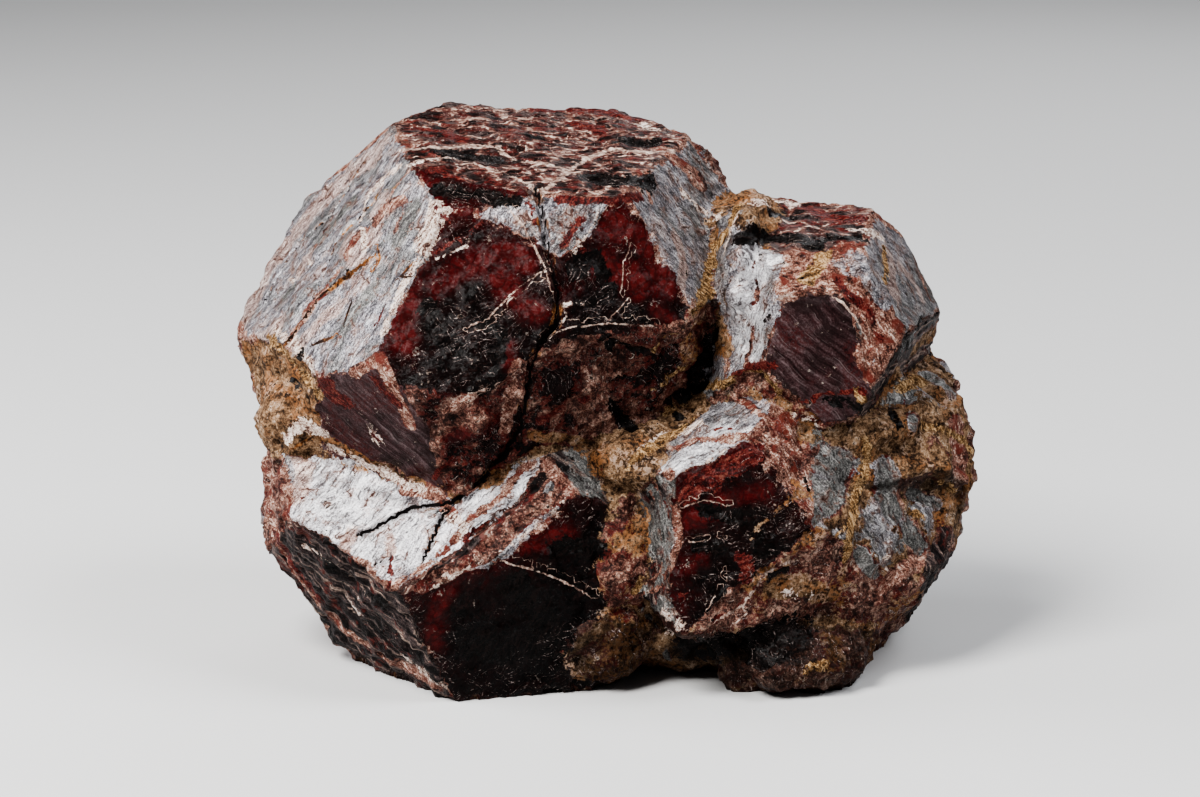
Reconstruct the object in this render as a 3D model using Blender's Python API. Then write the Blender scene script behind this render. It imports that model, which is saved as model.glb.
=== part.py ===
"""Garnet cluster: dark-red garnets that grew into each other, with mica matrix in the seams.

Each crystal starts as a block that is sliced once for every facet. The crystals and the lumps
of matrix are united into one solid, its edges are worn soft, and its surface gets ledges,
rough patches, pits and cracks. Lengths are written in millimetres and built in metres, +Z up.
The cluster faces -Y and stands on three flat patches at z = 0.
"""
import math

import bmesh
import bpy
import numpy as np
from mathutils import Matrix, Vector, noise

MM = 0.001

# How rough a facet is: the height in mm of the lumps on it.
CLEAN = 0.06
WORN = 0.13
ROUGH = 0.36
CRUST = 0.44

# A facet is (name, bearing, tilt, distance, roughness). Bearing 0 faces the viewer (-Y), +90
# faces right and -90 left. Tilt is up from the horizontal. Distance is in mm from the centre.
CRYSTALS = {
    "upper_left": ((-8, 3, 24), [
        ("top", 14, 79, 11.2, WORN),
        ("top_front", -14, 60, 12.4, CLEAN),
        ("left", -48, 30, 11.6, CLEAN),
        ("left_back", -70, 35, 11.4, WORN),
        ("left_end", -62, -14, 14.7, CRUST),
        ("low_left", -32, -24, 14.2, CLEAN),
        ("front", -8, 21, 12.5, WORN),
        ("low_front", -10, -20, 14.5, ROUGH),
        ("upper_front", 2, 35, 13.2, CLEAN),
        ("right", 23, 18, 14.3, WORN),
        ("right_up", 65, 29, 15.4, CLEAN),
        ("right_back", 86, 36, 17.5, WORN),
        ("low_right", 26, -24, 13.2, ROUGH),
        ("right_low", 60, -15, 15.6, ROUGH),
        ("left_side", -90, 0, 17.3, ROUGH),
        ("back", 178, 12, 14.5, CLEAN),
        ("back_left", -130, 12, 15.5, WORN),
        ("back_right", 132, 12, 16.5, CLEAN),
        ("back_up", 178, 50, 14.0, WORN),
        ("back_up_left", -120, 52, 13.8, CLEAN),
        ("back_up_right", 125, 50, 17.0, WORN),
        ("back_low", 180, -35, 14.0, ROUGH),
        ("under", 0, -80, 13.0, ROUGH),
        ("left_low", -110, -30, 17.4, ROUGH),
    ]),
    "upper_right": ((15, 1, 24), [
        ("top", -20, 80, 6.0, WORN),
        ("left", -50, 20, 8.1, CLEAN),
        ("left_side", -73, 13, 7.9, CLEAN),
        ("front", 5, 11, 7.8, CLEAN),
        ("front_low", -29, -23, 9.8, WORN),
        ("upper_front", 5, 45, 7.1, ROUGH),
        ("right_front", 35, 16, 7.1, WORN),
        ("right", 72, 29, 5.6, CLEAN),
        ("right_low", 70, -24, 6.4, WORN),
        ("back", 175, 10, 9.0, CLEAN),
        ("back_right", 125, 20, 8.0, CLEAN),
        ("back_up", 150, 55, 7.2, WORN),
        ("back_left", -130, 15, 9.0, CLEAN),
        ("under", 30, -70, 8.0, ROUGH),
    ]),
    "lower_left": ((-10, 0, 8), [
        ("top", -19, 47, 9.6, CLEAN),
        ("ridge", 4, 32, 11.2, WORN),
        ("upper_right", 42, 40, 12.9, CLEAN),
        ("front_up", 27, 8, 12.3, CLEAN),
        ("front_low", 14, -8, 11.8, CLEAN),
        ("left_low", -50, -27, 9.9, ROUGH),
        ("left", -75, 5, 12.9, ROUGH),
        ("left_under", -100, -40, 10.3, ROUGH),
        ("left_back", -120, 10, 13.3, CLEAN),
        ("back", 180, 0, 12.0, CLEAN),
        ("back_low", 172, -40, 8.8, ROUGH),
        ("right", 80, 0, 14.0, ROUGH),
        ("right_under", 95, -50, 11.2, ROUGH),
        ("under", 0, -90, 8.0, CLEAN),
    ]),
    "lower_right": ((13, 0, 10), [
        ("matrix_top", -51, 58, 11.6, CRUST),
        ("top_left", -41, 57, 11.6, CLEAN),
        ("top_front", -35, 50, 12.1, CLEAN),
        ("left", -52, 8, 13.4, WORN),
        ("front", 1, 12, 10.6, WORN),
        ("upper_right", 22, 26, 9.8, ROUGH),
        ("grey", 35, 24, 9.0, CLEAN),
        ("right", 40, 17, 8.7, ROUGH),
        ("low_front", 21, -13, 9.3, ROUGH),
        ("front_under", 14, -36, 10.7, ROUGH),
        ("right_side", 80, 5, 10.8, ROUGH),
        ("right_under", 80, -27, 10.6, ROUGH),
        ("low_right", 62, -40, 9.9, ROUGH),
        ("back_top", 120, 50, 11.0, WORN),
        ("back", 172, 4, 10.6, CLEAN),
        ("back_right", 126, 6, 10.6, CLEAN),
        ("back_low", 176, -38, 9.2, ROUGH),
        ("left_under", -80, -48, 10.4, ROUGH),
        ("under", 0, -90, 10.0, CLEAN),
    ]),
    "far_right": ((17, 4, 13), [
        ("front", 26, 36, 8.6, CRUST),
        ("right", 66, 20, 8.7, CRUST),
        ("right_side", 92, 8, 8.1, ROUGH),
        ("top", 60, 62, 7.3, CRUST),
        ("right_low", 85, -25, 8.2, ROUGH),
        ("back_right", 130, 10, 9.0, WORN),
        ("back", 175, 0, 9.5, CLEAN),
        ("back_up", 150, 45, 8.8, WORN),
        ("left", -60, 40, 9.0, ROUGH),
        ("left_low", -100, -20, 9.0, ROUGH),
        ("front_low", 30, -30, 8.0, ROUGH),
        ("under", 60, -70, 9.0, ROUGH),
    ]),
    "rear": ((1, 8, 11.5), [
        ("back", 172, 10, 9.2, CLEAN),
        ("back_up_left", -158, 42, 9.2, CLEAN),
        ("back_up_right", 140, 44, 9.2, WORN),
        ("back_left", -128, 4, 9.6, CLEAN),
        ("back_right", 118, 0, 9.8, CLEAN),
        ("low_back", 176, -34, 9.8, CLEAN),
        ("low_left", -128, -42, 10.2, WORN),
        ("low_right", 126, -40, 10.0, ROUGH),
        ("front_low", 0, -44, 9.0, ROUGH),
        ("left", -90, 0, 10.0, ROUGH),
        ("right", 90, 0, 10.0, ROUGH),
        ("front", 0, 0, 10.0, ROUGH),
        ("top", 0, 90, 10.0, WORN),
        ("under", 0, -90, 11.5, CLEAN),
    ]),
    "rear_small": ((-9.5, 12.5, 9), [
        ("back", -172, 22, 5.4, CLEAN),
        ("back_low", -165, -28, 5.6, WORN),
        ("left", -112, 20, 5.8, CLEAN),
        ("left_low", -110, -35, 5.8, WORN),
        ("right", 110, 12, 6.0, CLEAN),
        ("right_low", 120, -40, 5.8, ROUGH),
        ("top", 175, 68, 5.4, CLEAN),
        ("front", 0, 0, 8.0, ROUGH),
        ("front_low", -30, -40, 6.0, ROUGH),
        ("under", 0, -85, 5.8, ROUGH),
    ]),
}

# Lumps of mica matrix that fill the seams: name, centre, radii, all in mm.
MATRIX = [
    ("low_seam", (-0.6, -5.6, 3.4), (4.0, 4.6, 3.4)),
    ("low_seam_top", (1.2, -6.4, 8.0), (2.6, 3.2, 5.0)),
    ("middle_seam", (2.0, -4.2, 15.2), (3.4, 4.4, 2.2)),
    ("upper_seam", (9.2, -0.6, 25.0), (2.0, 4.6, 6.4)),
    ("upper_seam_top", (9.4, 3.0, 29.2), (2.6, 4.4, 2.2)),
    ("right_seam", (14.5, -3.0, 16.8), (6.6, 4.0, 1.8)),
    ("left_seam", (-20.4, 1.6, 16.4), (3.4, 5.6, 3.4)),
    ("right_foot", (12.4, -6.2, 2.2), (5.6, 4.8, 2.9)),
    ("middle_foot", (5.6, -4.0, 3.0), (5.0, 4.2, 2.8)),
    ("belly", (1.0, 3.0, 5.2), (13.0, 8.0, 3.6)),
    ("rear_low_seam", (9.4, 11.0, 6.5), (4.2, 3.8, 4.6)),
    ("rear_high_seam", (-4.0, 12.0, 18.2), (7.0, 3.4, 2.6)),
    ("rear_right_seam", (10.8, 9.0, 19.4), (5.0, 3.6, 2.8)),
]

SLICE_BLOCK = 90.0
FUSE_VOXEL = 0.45
WEAR_PASSES = 2
SETTLE_PASSES = 1
BASE_SNAP = 0.25
TRIANGLES = 9200

SEAM_REACH = 1.4
SEAM_PASSES = 14
LUMP_SIZE = 2.6
LEDGE_SIZE = 5.0
LEDGE_LEVELS = 3
LEDGE_HEIGHT = 0.25
PIT_SPACING = 2.2
PIT_SHARE = 0.35
PIT_DEPTH = 0.35

# Cracks: name, half width, depth and route, all in mm.
CRACKS = [
    ("main", 0.42, 0.75, [
        (-4.6, -5.9, 33.6), (-4.1, -7.3, 32.2), (-3.9, -8.7, 30.1), (-2.9, -9.8, 27.7),
        (-3.2, -10.6, 25.6), (-4.2, -10.9, 24.3), (-4.8, -10.8, 22.6), (-5.3, -10.0, 20.4),
        (-5.7, -9.0, 18.0), (-7.0, -8.7, 16.1), (-8.7, -8.5, 14.2), (-9.9, -8.9, 13.3)]),
    ("main_left", 0.34, 0.55, [
        (-9.9, -8.9, 13.3), (-11.5, -8.9, 12.8), (-13.1, -8.7, 12.5), (-14.6, -8.9, 11.9),
        (-16.1, -9.4, 11.0)]),
    ("main_down", 0.34, 0.55, [
        (-10.1, -9.0, 13.1), (-10.9, -9.9, 12.1), (-11.4, -11.0, 11.0), (-11.8, -11.7, 10.3)]),
    ("left_vein", 0.32, 0.45, [
        (-15.9, -4.4, 28.4), (-17.5, -3.8, 27.1), (-19.2, -3.1, 25.7), (-20.4, -3.2, 24.1),
        (-21.4, -3.3, 22.7)]),
]

GARNET = (0.115, 0.030, 0.028, 1.0)
GARNET_ROUGHNESS = 0.38


def clear_scene():
    for obj in list(bpy.data.objects):
        bpy.data.objects.remove(obj, do_unlink=True)


def facet_normal(bearing, tilt):
    """Outward direction of a facet from its bearing and tilt in degrees."""
    turn = math.radians(bearing)
    rise = math.radians(tilt)
    flat = math.cos(rise)
    return Vector((math.sin(turn) * flat, -math.cos(turn) * flat, math.sin(rise)))


def add_object(name, bm):
    mesh = bpy.data.meshes.new(name)
    bm.to_mesh(mesh)
    bm.free()
    obj = bpy.data.objects.new(name, mesh)
    bpy.context.scene.collection.objects.link(obj)
    return obj


def grow_crystal(name, centre, facets):
    """A block around the centre, sliced flat once for every facet."""
    middle = Vector(centre) * MM
    bm = bmesh.new()
    bmesh.ops.create_cube(bm, size=SLICE_BLOCK * MM, matrix=Matrix.Translation(middle))
    for _, bearing, tilt, distance, _ in facets:
        normal = facet_normal(bearing, tilt)
        geometry = bm.verts[:] + bm.edges[:] + bm.faces[:]
        cut = bmesh.ops.bisect_plane(
            bm, geom=geometry, dist=1e-7, plane_co=middle + normal * distance * MM,
            plane_no=normal, clear_outer=True)
        rim = [part for part in cut["geom_cut"] if isinstance(part, bmesh.types.BMEdge)]
        if rim:
            bmesh.ops.contextual_create(bm, geom=rim)
    bmesh.ops.remove_doubles(bm, verts=bm.verts, dist=1e-6)
    bmesh.ops.recalc_face_normals(bm, faces=bm.faces)
    return add_object(name, bm)


def grow_lump(name, centre, radii):
    """A rounded lump of matrix."""
    bm = bmesh.new()
    place = Matrix.Translation(Vector(centre) * MM) @ Matrix.Diagonal([*(Vector(radii) * MM), 1.0])
    bmesh.ops.create_icosphere(bm, subdivisions=3, radius=1.0, matrix=place)
    return add_object(name, bm)


def floor_block():
    """Everything below z = 0 is sliced away, so the lumps get flat feet."""
    bm = bmesh.new()
    half = SLICE_BLOCK / 2
    bmesh.ops.create_cube(bm, size=SLICE_BLOCK * MM, matrix=Matrix.Translation((0, 0, -half * MM)))
    return add_object("floor_cutter", bm)


def apply_modifiers(obj):
    """Replace the object's mesh by the one its modifiers give."""
    graph = bpy.context.evaluated_depsgraph_get()
    mesh = bpy.data.meshes.new_from_object(obj.evaluated_get(graph))
    obj.modifiers.clear()
    obj.data = mesh


def boolean(obj, other, operation):
    modifier = obj.modifiers.new(operation, "BOOLEAN")
    modifier.operation = operation
    modifier.solver = "EXACT"
    modifier.object = other
    apply_modifiers(obj)
    bpy.data.objects.remove(other, do_unlink=True)


def fuse(pieces):
    """All the pieces as one even skin of small squares."""
    cluster = pieces[0]
    for piece in pieces[1:]:
        boolean(cluster, piece, "UNION")
    boolean(cluster, floor_block(), "DIFFERENCE")
    remesh = cluster.modifiers.new("skin", "REMESH")
    remesh.mode = "VOXEL"
    remesh.voxel_size = FUSE_VOXEL * MM
    apply_modifiers(cluster)
    return cluster


def read_points(obj):
    """The object's vertices and their normals; the points are in mm."""
    mesh = obj.data
    points = np.empty(len(mesh.vertices) * 3)
    normals = np.empty(len(mesh.vertices) * 3)
    mesh.vertices.foreach_get("co", points)
    mesh.vertices.foreach_get("normal", normals)
    return points.reshape(-1, 3) / MM, normals.reshape(-1, 3)


def write_points(obj, points):
    obj.data.vertices.foreach_set("co", (points * MM).ravel())
    obj.data.update()


def surface_character(points):
    """For each point, how rough its facet is and how deep it lies in a seam, 0 to 1."""
    gaps = []
    characters = []
    for centre, facets in CRYSTALS.values():
        normals = np.array([facet_normal(facet[1], facet[2]) for facet in facets])
        distances = np.array([facet[3] for facet in facets])
        heights = (points - np.array(centre)) @ normals.T - distances
        gaps.append(heights.max(axis=1))
        characters.append(np.array([facet[4] for facet in facets])[heights.argmax(axis=1)])
    for _, centre, radii in MATRIX:
        reach = np.linalg.norm((points - np.array(centre)) / np.array(radii), axis=1) - 1
        gaps.append(reach * min(radii))
        characters.append(np.full(len(points), CRUST))
    gaps = np.array(gaps)
    order = gaps.argsort(axis=0)
    column = np.arange(len(points))
    roughness = np.array(characters)[order[0], column]
    second = gaps[order[1], column]
    seam = np.clip(1 - second / SEAM_REACH, 0, 1)
    return roughness, seam


def lumpy(points, scale, seed, octaves=3):
    """Smooth noise from about -1 to 1, with lumps of the given size in mm."""
    shift = Vector((seed * 17.3, seed * 5.1, -seed * 9.7))
    values = [noise.fractal(Vector(point) / scale + shift, 0.9, 2.1, octaves) for point in points]
    return np.array(values)


def cell_pits(points, spacing, seed):
    """1 at the middle of scattered pits and 0 away from them."""
    shift = Vector((seed * 3.7, -seed * 8.9, seed * 4.3))
    nearest = [noise.voronoi(Vector(point) / spacing + shift)[0][0] for point in points]
    return np.clip(1 - np.array(nearest) / PIT_SHARE, 0, 1)


def distance_to_route(points, route):
    """Distance in mm from each point to a polyline."""
    best = np.full(len(points), np.inf)
    for start, end in zip(route[:-1], route[1:]):
        start = np.array(start)
        along = np.array(end) - start
        share = np.clip((points - start) @ along / (along @ along), 0, 1)
        gap = np.linalg.norm(points - start - share[:, None] * along, axis=1)
        best = np.minimum(best, gap)
    return best


def relief(points):
    """Height in mm to move each point out along its normal."""
    roughness, seam = surface_character(points)
    roughness = roughness + (CRUST - roughness) * seam ** 2
    height = roughness * (lumpy(points, LUMP_SIZE, 1) + 0.5 * lumpy(points, LUMP_SIZE / 2.6, 2))
    steps = lumpy(points, LEDGE_SIZE, 3) * LEDGE_LEVELS
    height += np.round(steps) / LEDGE_LEVELS * LEDGE_HEIGHT * (roughness > CLEAN)
    height -= PIT_DEPTH * cell_pits(points, PIT_SPACING, 4) * (roughness > WORN)
    for _, half_width, depth, route in CRACKS:
        share = np.clip(1 - distance_to_route(points, route) / half_width, 0, 1)
        height -= depth * share
    return height


def smooth_skin(obj, passes, group=""):
    smooth = obj.modifiers.new("smooth", "SMOOTH")
    smooth.factor = 0.5
    smooth.iterations = passes
    smooth.vertex_group = group
    apply_modifiers(obj)


def fill_seams(obj):
    """Fill the sharp valleys between the crystals, as the matrix does."""
    points, _ = read_points(obj)
    _, seam = surface_character(points)
    group = obj.vertex_groups.new(name="seam")
    for index, share in enumerate(seam):
        if share > 0:
            group.add([index], float(share), "REPLACE")
    smooth_skin(obj, SEAM_PASSES, "seam")
    obj.vertex_groups.clear()


def carve_relief(obj):
    points, normals = read_points(obj)
    points = points + normals * relief(points)[:, None]
    low = points[:, 2] < BASE_SNAP
    points[low, 2] = 0.0
    write_points(obj, points)


def thin_out(obj):
    """Keep the shape with far fewer triangles."""
    obj.data.calc_loop_triangles()
    decimate = obj.modifiers.new("thin", "DECIMATE")
    decimate.ratio = TRIANGLES / len(obj.data.loop_triangles)
    decimate.use_collapse_triangulate = True
    apply_modifiers(obj)
    points, _ = read_points(obj)
    points[points[:, 2] < BASE_SNAP / 4, 2] = 0.0
    write_points(obj, points)


def stand_on_origin(obj):
    """Move the cluster so that the middle of its base box is the origin."""
    points, _ = read_points(obj)
    middle = (points.min(axis=0) + points.max(axis=0)) / 2
    middle[2] = 0.0
    write_points(obj, points - middle)
    print("moved by", (-middle).round(3), "mm")


def finish_mesh(obj, name):
    obj.name = name
    obj.data.name = name
    bm = bmesh.new()
    bm.from_mesh(obj.data)
    bmesh.ops.remove_doubles(bm, verts=bm.verts, dist=1e-6)
    bmesh.ops.dissolve_degenerate(bm, dist=1e-6, edges=bm.edges)
    bmesh.ops.recalc_face_normals(bm, faces=bm.faces)
    bm.to_mesh(obj.data)
    bm.free()
    obj.data.shade_flat()


def garnet_material():
    material = bpy.data.materials.new("garnet")
    material.use_nodes = True
    shader = material.node_tree.nodes["Principled BSDF"]
    shader.inputs["Base Color"].default_value = GARNET
    shader.inputs["Roughness"].default_value = GARNET_ROUGHNESS
    shader.inputs["Metallic"].default_value = 0.0
    return material


def main():
    clear_scene()
    pieces = [grow_crystal(name, centre, facets) for name, (centre, facets) in CRYSTALS.items()]
    pieces += [grow_lump(name, centre, radii) for name, centre, radii in MATRIX]
    cluster = fuse(pieces)
    fill_seams(cluster)
    smooth_skin(cluster, WEAR_PASSES)
    carve_relief(cluster)
    smooth_skin(cluster, SETTLE_PASSES)
    thin_out(cluster)
    stand_on_origin(cluster)
    finish_mesh(cluster, "garnet_cluster")
    cluster.data.materials.clear()
    cluster.data.materials.append(garnet_material())


main()
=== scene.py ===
"""Looks of the garnet cluster: a fine worn skin on the solid, its mineral coats, and the studio.

Lengths are in millimetres unless a name says otherwise; the scene itself is in metres.
"""
import math

import bmesh
import bpy
import numpy as np
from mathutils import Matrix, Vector, noise


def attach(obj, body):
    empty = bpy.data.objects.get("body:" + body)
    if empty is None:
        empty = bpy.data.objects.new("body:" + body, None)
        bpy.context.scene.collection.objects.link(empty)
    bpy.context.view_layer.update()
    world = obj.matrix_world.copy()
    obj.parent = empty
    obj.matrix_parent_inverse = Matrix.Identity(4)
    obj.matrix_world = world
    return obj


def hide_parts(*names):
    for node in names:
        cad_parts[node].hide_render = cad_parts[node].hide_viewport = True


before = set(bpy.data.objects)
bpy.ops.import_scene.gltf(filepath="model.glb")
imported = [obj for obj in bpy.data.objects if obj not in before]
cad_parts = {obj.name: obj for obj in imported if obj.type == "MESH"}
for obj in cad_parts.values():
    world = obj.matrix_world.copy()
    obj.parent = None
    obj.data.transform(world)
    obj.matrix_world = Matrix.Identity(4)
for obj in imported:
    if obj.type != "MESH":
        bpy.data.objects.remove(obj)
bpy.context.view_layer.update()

MM = 0.001

# The solid was moved by this much, in mm, to stand in the middle of its base.
BASE_SHIFT = np.array([-0.029, -3.017, 0.0])

# How rough a facet is: the height in mm of the lumps on it, as in the solid.
CLEAN = 0.06
WORN = 0.13
ROUGH = 0.36
CRUST = 0.44

# A facet is (name, bearing, tilt, distance, roughness, finish, grain). Bearing 0 faces the
# viewer (-Y), +90 faces right and -90 left. Tilt is up from the horizontal. Distance is in mm
# from the centre. Grain is the angle of the fine streaks, from the facet's level line upwards.
CRYSTALS = {
    "upper_left": ((-8, 3, 24), [
        ("top", 14, 79, 11.2, WORN, "layered", 170),
        ("top_front", -14, 60, 12.4, CLEAN, "glass", 175),
        ("left", -48, 30, 11.6, CLEAN, "film", 70),
        ("left_back", -70, 35, 11.4, WORN, "film", 70),
        ("left_end", -62, -14, 14.7, CRUST, "matrix", 35),
        ("low_left", -32, -24, 14.2, CLEAN, "dusk", 135),
        ("front", -8, 21, 12.5, WORN, "glass", 40),
        ("low_front", -10, -20, 14.5, ROUGH, "hackly", 35),
        ("upper_front", 2, 35, 13.2, CLEAN, "pale", 60),
        ("right", 23, 18, 14.3, WORN, "glass", 40),
        ("right_up", 65, 29, 15.4, CLEAN, "film", 130),
        ("right_back", 86, 36, 17.5, WORN, "flaky", 125),
        ("low_right", 26, -24, 13.2, ROUGH, "hackly", 140),
        ("right_low", 60, -15, 15.6, ROUGH, "crumbly", 30),
        ("left_side", -90, 0, 17.3, ROUGH, "flaky", 15),
        ("back", 178, 12, 14.5, CLEAN, "flaked", 40),
        ("back_left", -130, 12, 15.5, WORN, "dusk", 60),
        ("back_right", 132, 12, 16.5, CLEAN, "glass", 30),
        ("back_up", 178, 50, 14.0, WORN, "flaked", 20),
        ("back_up_left", -120, 52, 13.8, CLEAN, "film", 50),
        ("back_up_right", 125, 50, 17.0, WORN, "dusty", 150),
        ("back_low", 180, -35, 14.0, ROUGH, "hackly", 0),
        ("under", 0, -80, 13.0, ROUGH, "earthy", 0),
        ("left_low", -110, -30, 17.4, ROUGH, "flaky", 120),
    ]),
    "upper_right": ((15, 1, 24), [
        ("top", -20, 80, 6.0, WORN, "layered", 10),
        ("left", -50, 20, 8.1, CLEAN, "film", 85),
        ("left_side", -73, 13, 7.9, CLEAN, "film", 85),
        ("front", 5, 11, 7.8, CLEAN, "dusk", 140),
        ("front_low", -29, -23, 9.8, WORN, "earthy", 150),
        ("upper_front", 5, 45, 7.1, ROUGH, "dusty", 10),
        ("right_front", 35, 16, 7.1, WORN, "dusty", 120),
        ("right", 72, 29, 5.6, CLEAN, "film", 135),
        ("right_low", 70, -24, 6.4, WORN, "slate", 15),
        ("back", 175, 10, 9.0, CLEAN, "flaked", 30),
        ("back_right", 125, 20, 8.0, CLEAN, "film", 120),
        ("back_up", 150, 55, 7.2, WORN, "dusty", 0),
        ("back_left", -130, 15, 9.0, CLEAN, "dusk", 60),
        ("under", 30, -70, 8.0, ROUGH, "earthy", 0),
    ]),
    "lower_left": ((-10, 0, 8), [
        ("top", -19, 47, 9.6, CLEAN, "film", 65),
        ("ridge", 4, 32, 11.2, WORN, "film", 45),
        ("upper_right", 42, 40, 12.9, CLEAN, "greyish", 120),
        ("front_up", 27, 8, 12.3, CLEAN, "glass", 35),
        ("front_low", 14, -8, 11.8, CLEAN, "glass", 60),
        ("left_low", -50, -27, 9.9, ROUGH, "slate", 145),
        ("left", -75, 5, 12.9, ROUGH, "flaky", 160),
        ("left_under", -100, -40, 10.3, ROUGH, "flaky", 140),
        ("left_back", -120, 10, 13.3, CLEAN, "film", 60),
        ("back", 180, 0, 12.0, CLEAN, "dusk", 20),
        ("back_low", 172, -40, 8.8, ROUGH, "earthy", 0),
        ("right", 80, 0, 14.0, ROUGH, "murky", 5),
        ("right_under", 95, -50, 11.2, ROUGH, "murky", 160),
        ("under", 0, -90, 8.0, CLEAN, "murky", 0),
    ]),
    "lower_right": ((13, 0, 10), [
        ("matrix_top", -51, 58, 11.6, CRUST, "matrix", 75),
        ("top_left", -41, 57, 11.6, CLEAN, "film", 60),
        ("top_front", -35, 50, 12.1, CLEAN, "film", 50),
        ("left", -52, 8, 13.4, WORN, "greyish", 125),
        ("front", 1, 12, 10.6, WORN, "glass", 30),
        ("upper_right", 22, 26, 9.8, ROUGH, "flaky", 125),
        ("grey", 35, 24, 9.0, CLEAN, "grey", 120),
        ("right", 40, 17, 8.7, ROUGH, "patchy", 115),
        ("low_front", 21, -13, 9.3, ROUGH, "crumbly", 45),
        ("front_under", 14, -36, 10.7, ROUGH, "murky", 20),
        ("right_side", 80, 5, 10.8, ROUGH, "matrix", 110),
        ("right_under", 80, -27, 10.6, ROUGH, "slate", 40),
        ("low_right", 62, -40, 9.9, ROUGH, "crumbly", 90),
        ("back_top", 120, 50, 11.0, WORN, "film", 30),
        ("back", 172, 4, 10.6, CLEAN, "flaked", 150),
        ("back_right", 126, 6, 10.6, CLEAN, "flaky", 30),
        ("back_low", 176, -38, 9.2, ROUGH, "earthy", 0),
        ("left_under", -80, -48, 10.4, ROUGH, "murky", 20),
        ("under", 0, -90, 10.0, CLEAN, "murky", 0),
    ]),
    "far_right": ((17, 4, 13), [
        ("front", 26, 36, 8.6, CRUST, "matrix", 105),
        ("right", 66, 20, 8.7, CRUST, "matrix", 70),
        ("right_side", 92, 8, 8.1, ROUGH, "flaky", 165),
        ("top", 60, 62, 7.3, CRUST, "matrix", 55),
        ("right_low", 85, -25, 8.2, ROUGH, "crumbly", 165),
        ("back_right", 130, 10, 9.0, WORN, "dusk", 60),
        ("back", 175, 0, 9.5, CLEAN, "film", 60),
        ("back_up", 150, 45, 8.8, WORN, "dusty", 20),
        ("left", -60, 40, 9.0, ROUGH, "patchy", 145),
        ("left_low", -100, -20, 9.0, ROUGH, "earthy", 0),
        ("front_low", 30, -30, 8.0, ROUGH, "murky", 170),
        ("under", 60, -70, 9.0, ROUGH, "earthy", 0),
    ]),
    "rear": ((1, 8, 11.5), [
        ("back", 172, 10, 9.2, CLEAN, "glass", 30),
        ("back_up_left", -158, 42, 9.2, CLEAN, "flaked", 40),
        ("back_up_right", 140, 44, 9.2, WORN, "film", 140),
        ("back_left", -128, 4, 9.6, CLEAN, "dusk", 60),
        ("back_right", 118, 0, 9.8, CLEAN, "film", 100),
        ("low_back", 176, -34, 9.8, CLEAN, "glass", 20),
        ("low_left", -128, -42, 10.2, WORN, "slate", 140),
        ("low_right", 126, -40, 10.0, ROUGH, "hackly", 30),
        ("front_low", 0, -44, 9.0, ROUGH, "murky", 0),
        ("left", -90, 0, 10.0, ROUGH, "earthy", 15),
        ("right", 90, 0, 10.0, ROUGH, "earthy", 165),
        ("front", 0, 0, 10.0, ROUGH, "earthy", 0),
        ("top", 0, 90, 10.0, WORN, "dusty", 0),
        ("under", 0, -90, 11.5, CLEAN, "murky", 0),
    ]),
    "rear_small": ((-9.5, 12.5, 9), [
        ("back", -172, 22, 5.4, CLEAN, "film", 60),
        ("back_low", -165, -28, 5.6, WORN, "dusk", 30),
        ("left", -112, 20, 5.8, CLEAN, "film", 110),
        ("left_low", -110, -35, 5.8, WORN, "slate", 140),
        ("right", 110, 12, 6.0, CLEAN, "glass", 30),
        ("right_low", 120, -40, 5.8, ROUGH, "earthy", 0),
        ("top", 175, 68, 5.4, CLEAN, "layered", 0),
        ("front", 0, 0, 8.0, ROUGH, "earthy", 0),
        ("front_low", -30, -40, 6.0, ROUGH, "earthy", 10),
        ("under", 0, -85, 5.8, ROUGH, "earthy", 0),
    ]),
}

# Lumps of mica matrix that fill the seams: name, centre and radii in mm, and finish.
MATRIX = [
    ("low_seam", (-0.6, -5.6, 3.4), (4.0, 4.6, 3.4), "murky"),
    ("low_seam_top", (1.2, -6.4, 8.0), (2.6, 3.2, 5.0), "earthy"),
    ("middle_seam", (2.0, -4.2, 15.2), (3.4, 4.4, 2.2), "matrix"),
    ("upper_seam", (9.2, -0.6, 25.0), (2.0, 4.6, 6.4), "patchy"),
    ("upper_seam_top", (9.4, 3.0, 29.2), (2.6, 4.4, 2.2), "matrix"),
    ("right_seam", (14.5, -3.0, 16.8), (6.6, 4.0, 1.8), "matrix"),
    ("left_seam", (-20.4, 1.6, 16.4), (3.4, 5.6, 3.4), "matrix"),
    ("right_foot", (12.4, -6.2, 2.2), (5.6, 4.8, 2.9), "murky"),
    ("middle_foot", (5.6, -4.0, 3.0), (5.0, 4.2, 2.8), "dim"),
    ("belly", (1.0, 3.0, 5.2), (13.0, 8.0, 3.6), "murky"),
    ("rear_low_seam", (9.4, 11.0, 6.5), (4.2, 3.8, 4.6), "murky"),
    ("rear_high_seam", (-4.0, 12.0, 18.2), (7.0, 3.4, 2.6), "matrix"),
    ("rear_right_seam", (10.8, 9.0, 19.4), (5.0, 3.6, 2.8), "patchy"),
]

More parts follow.
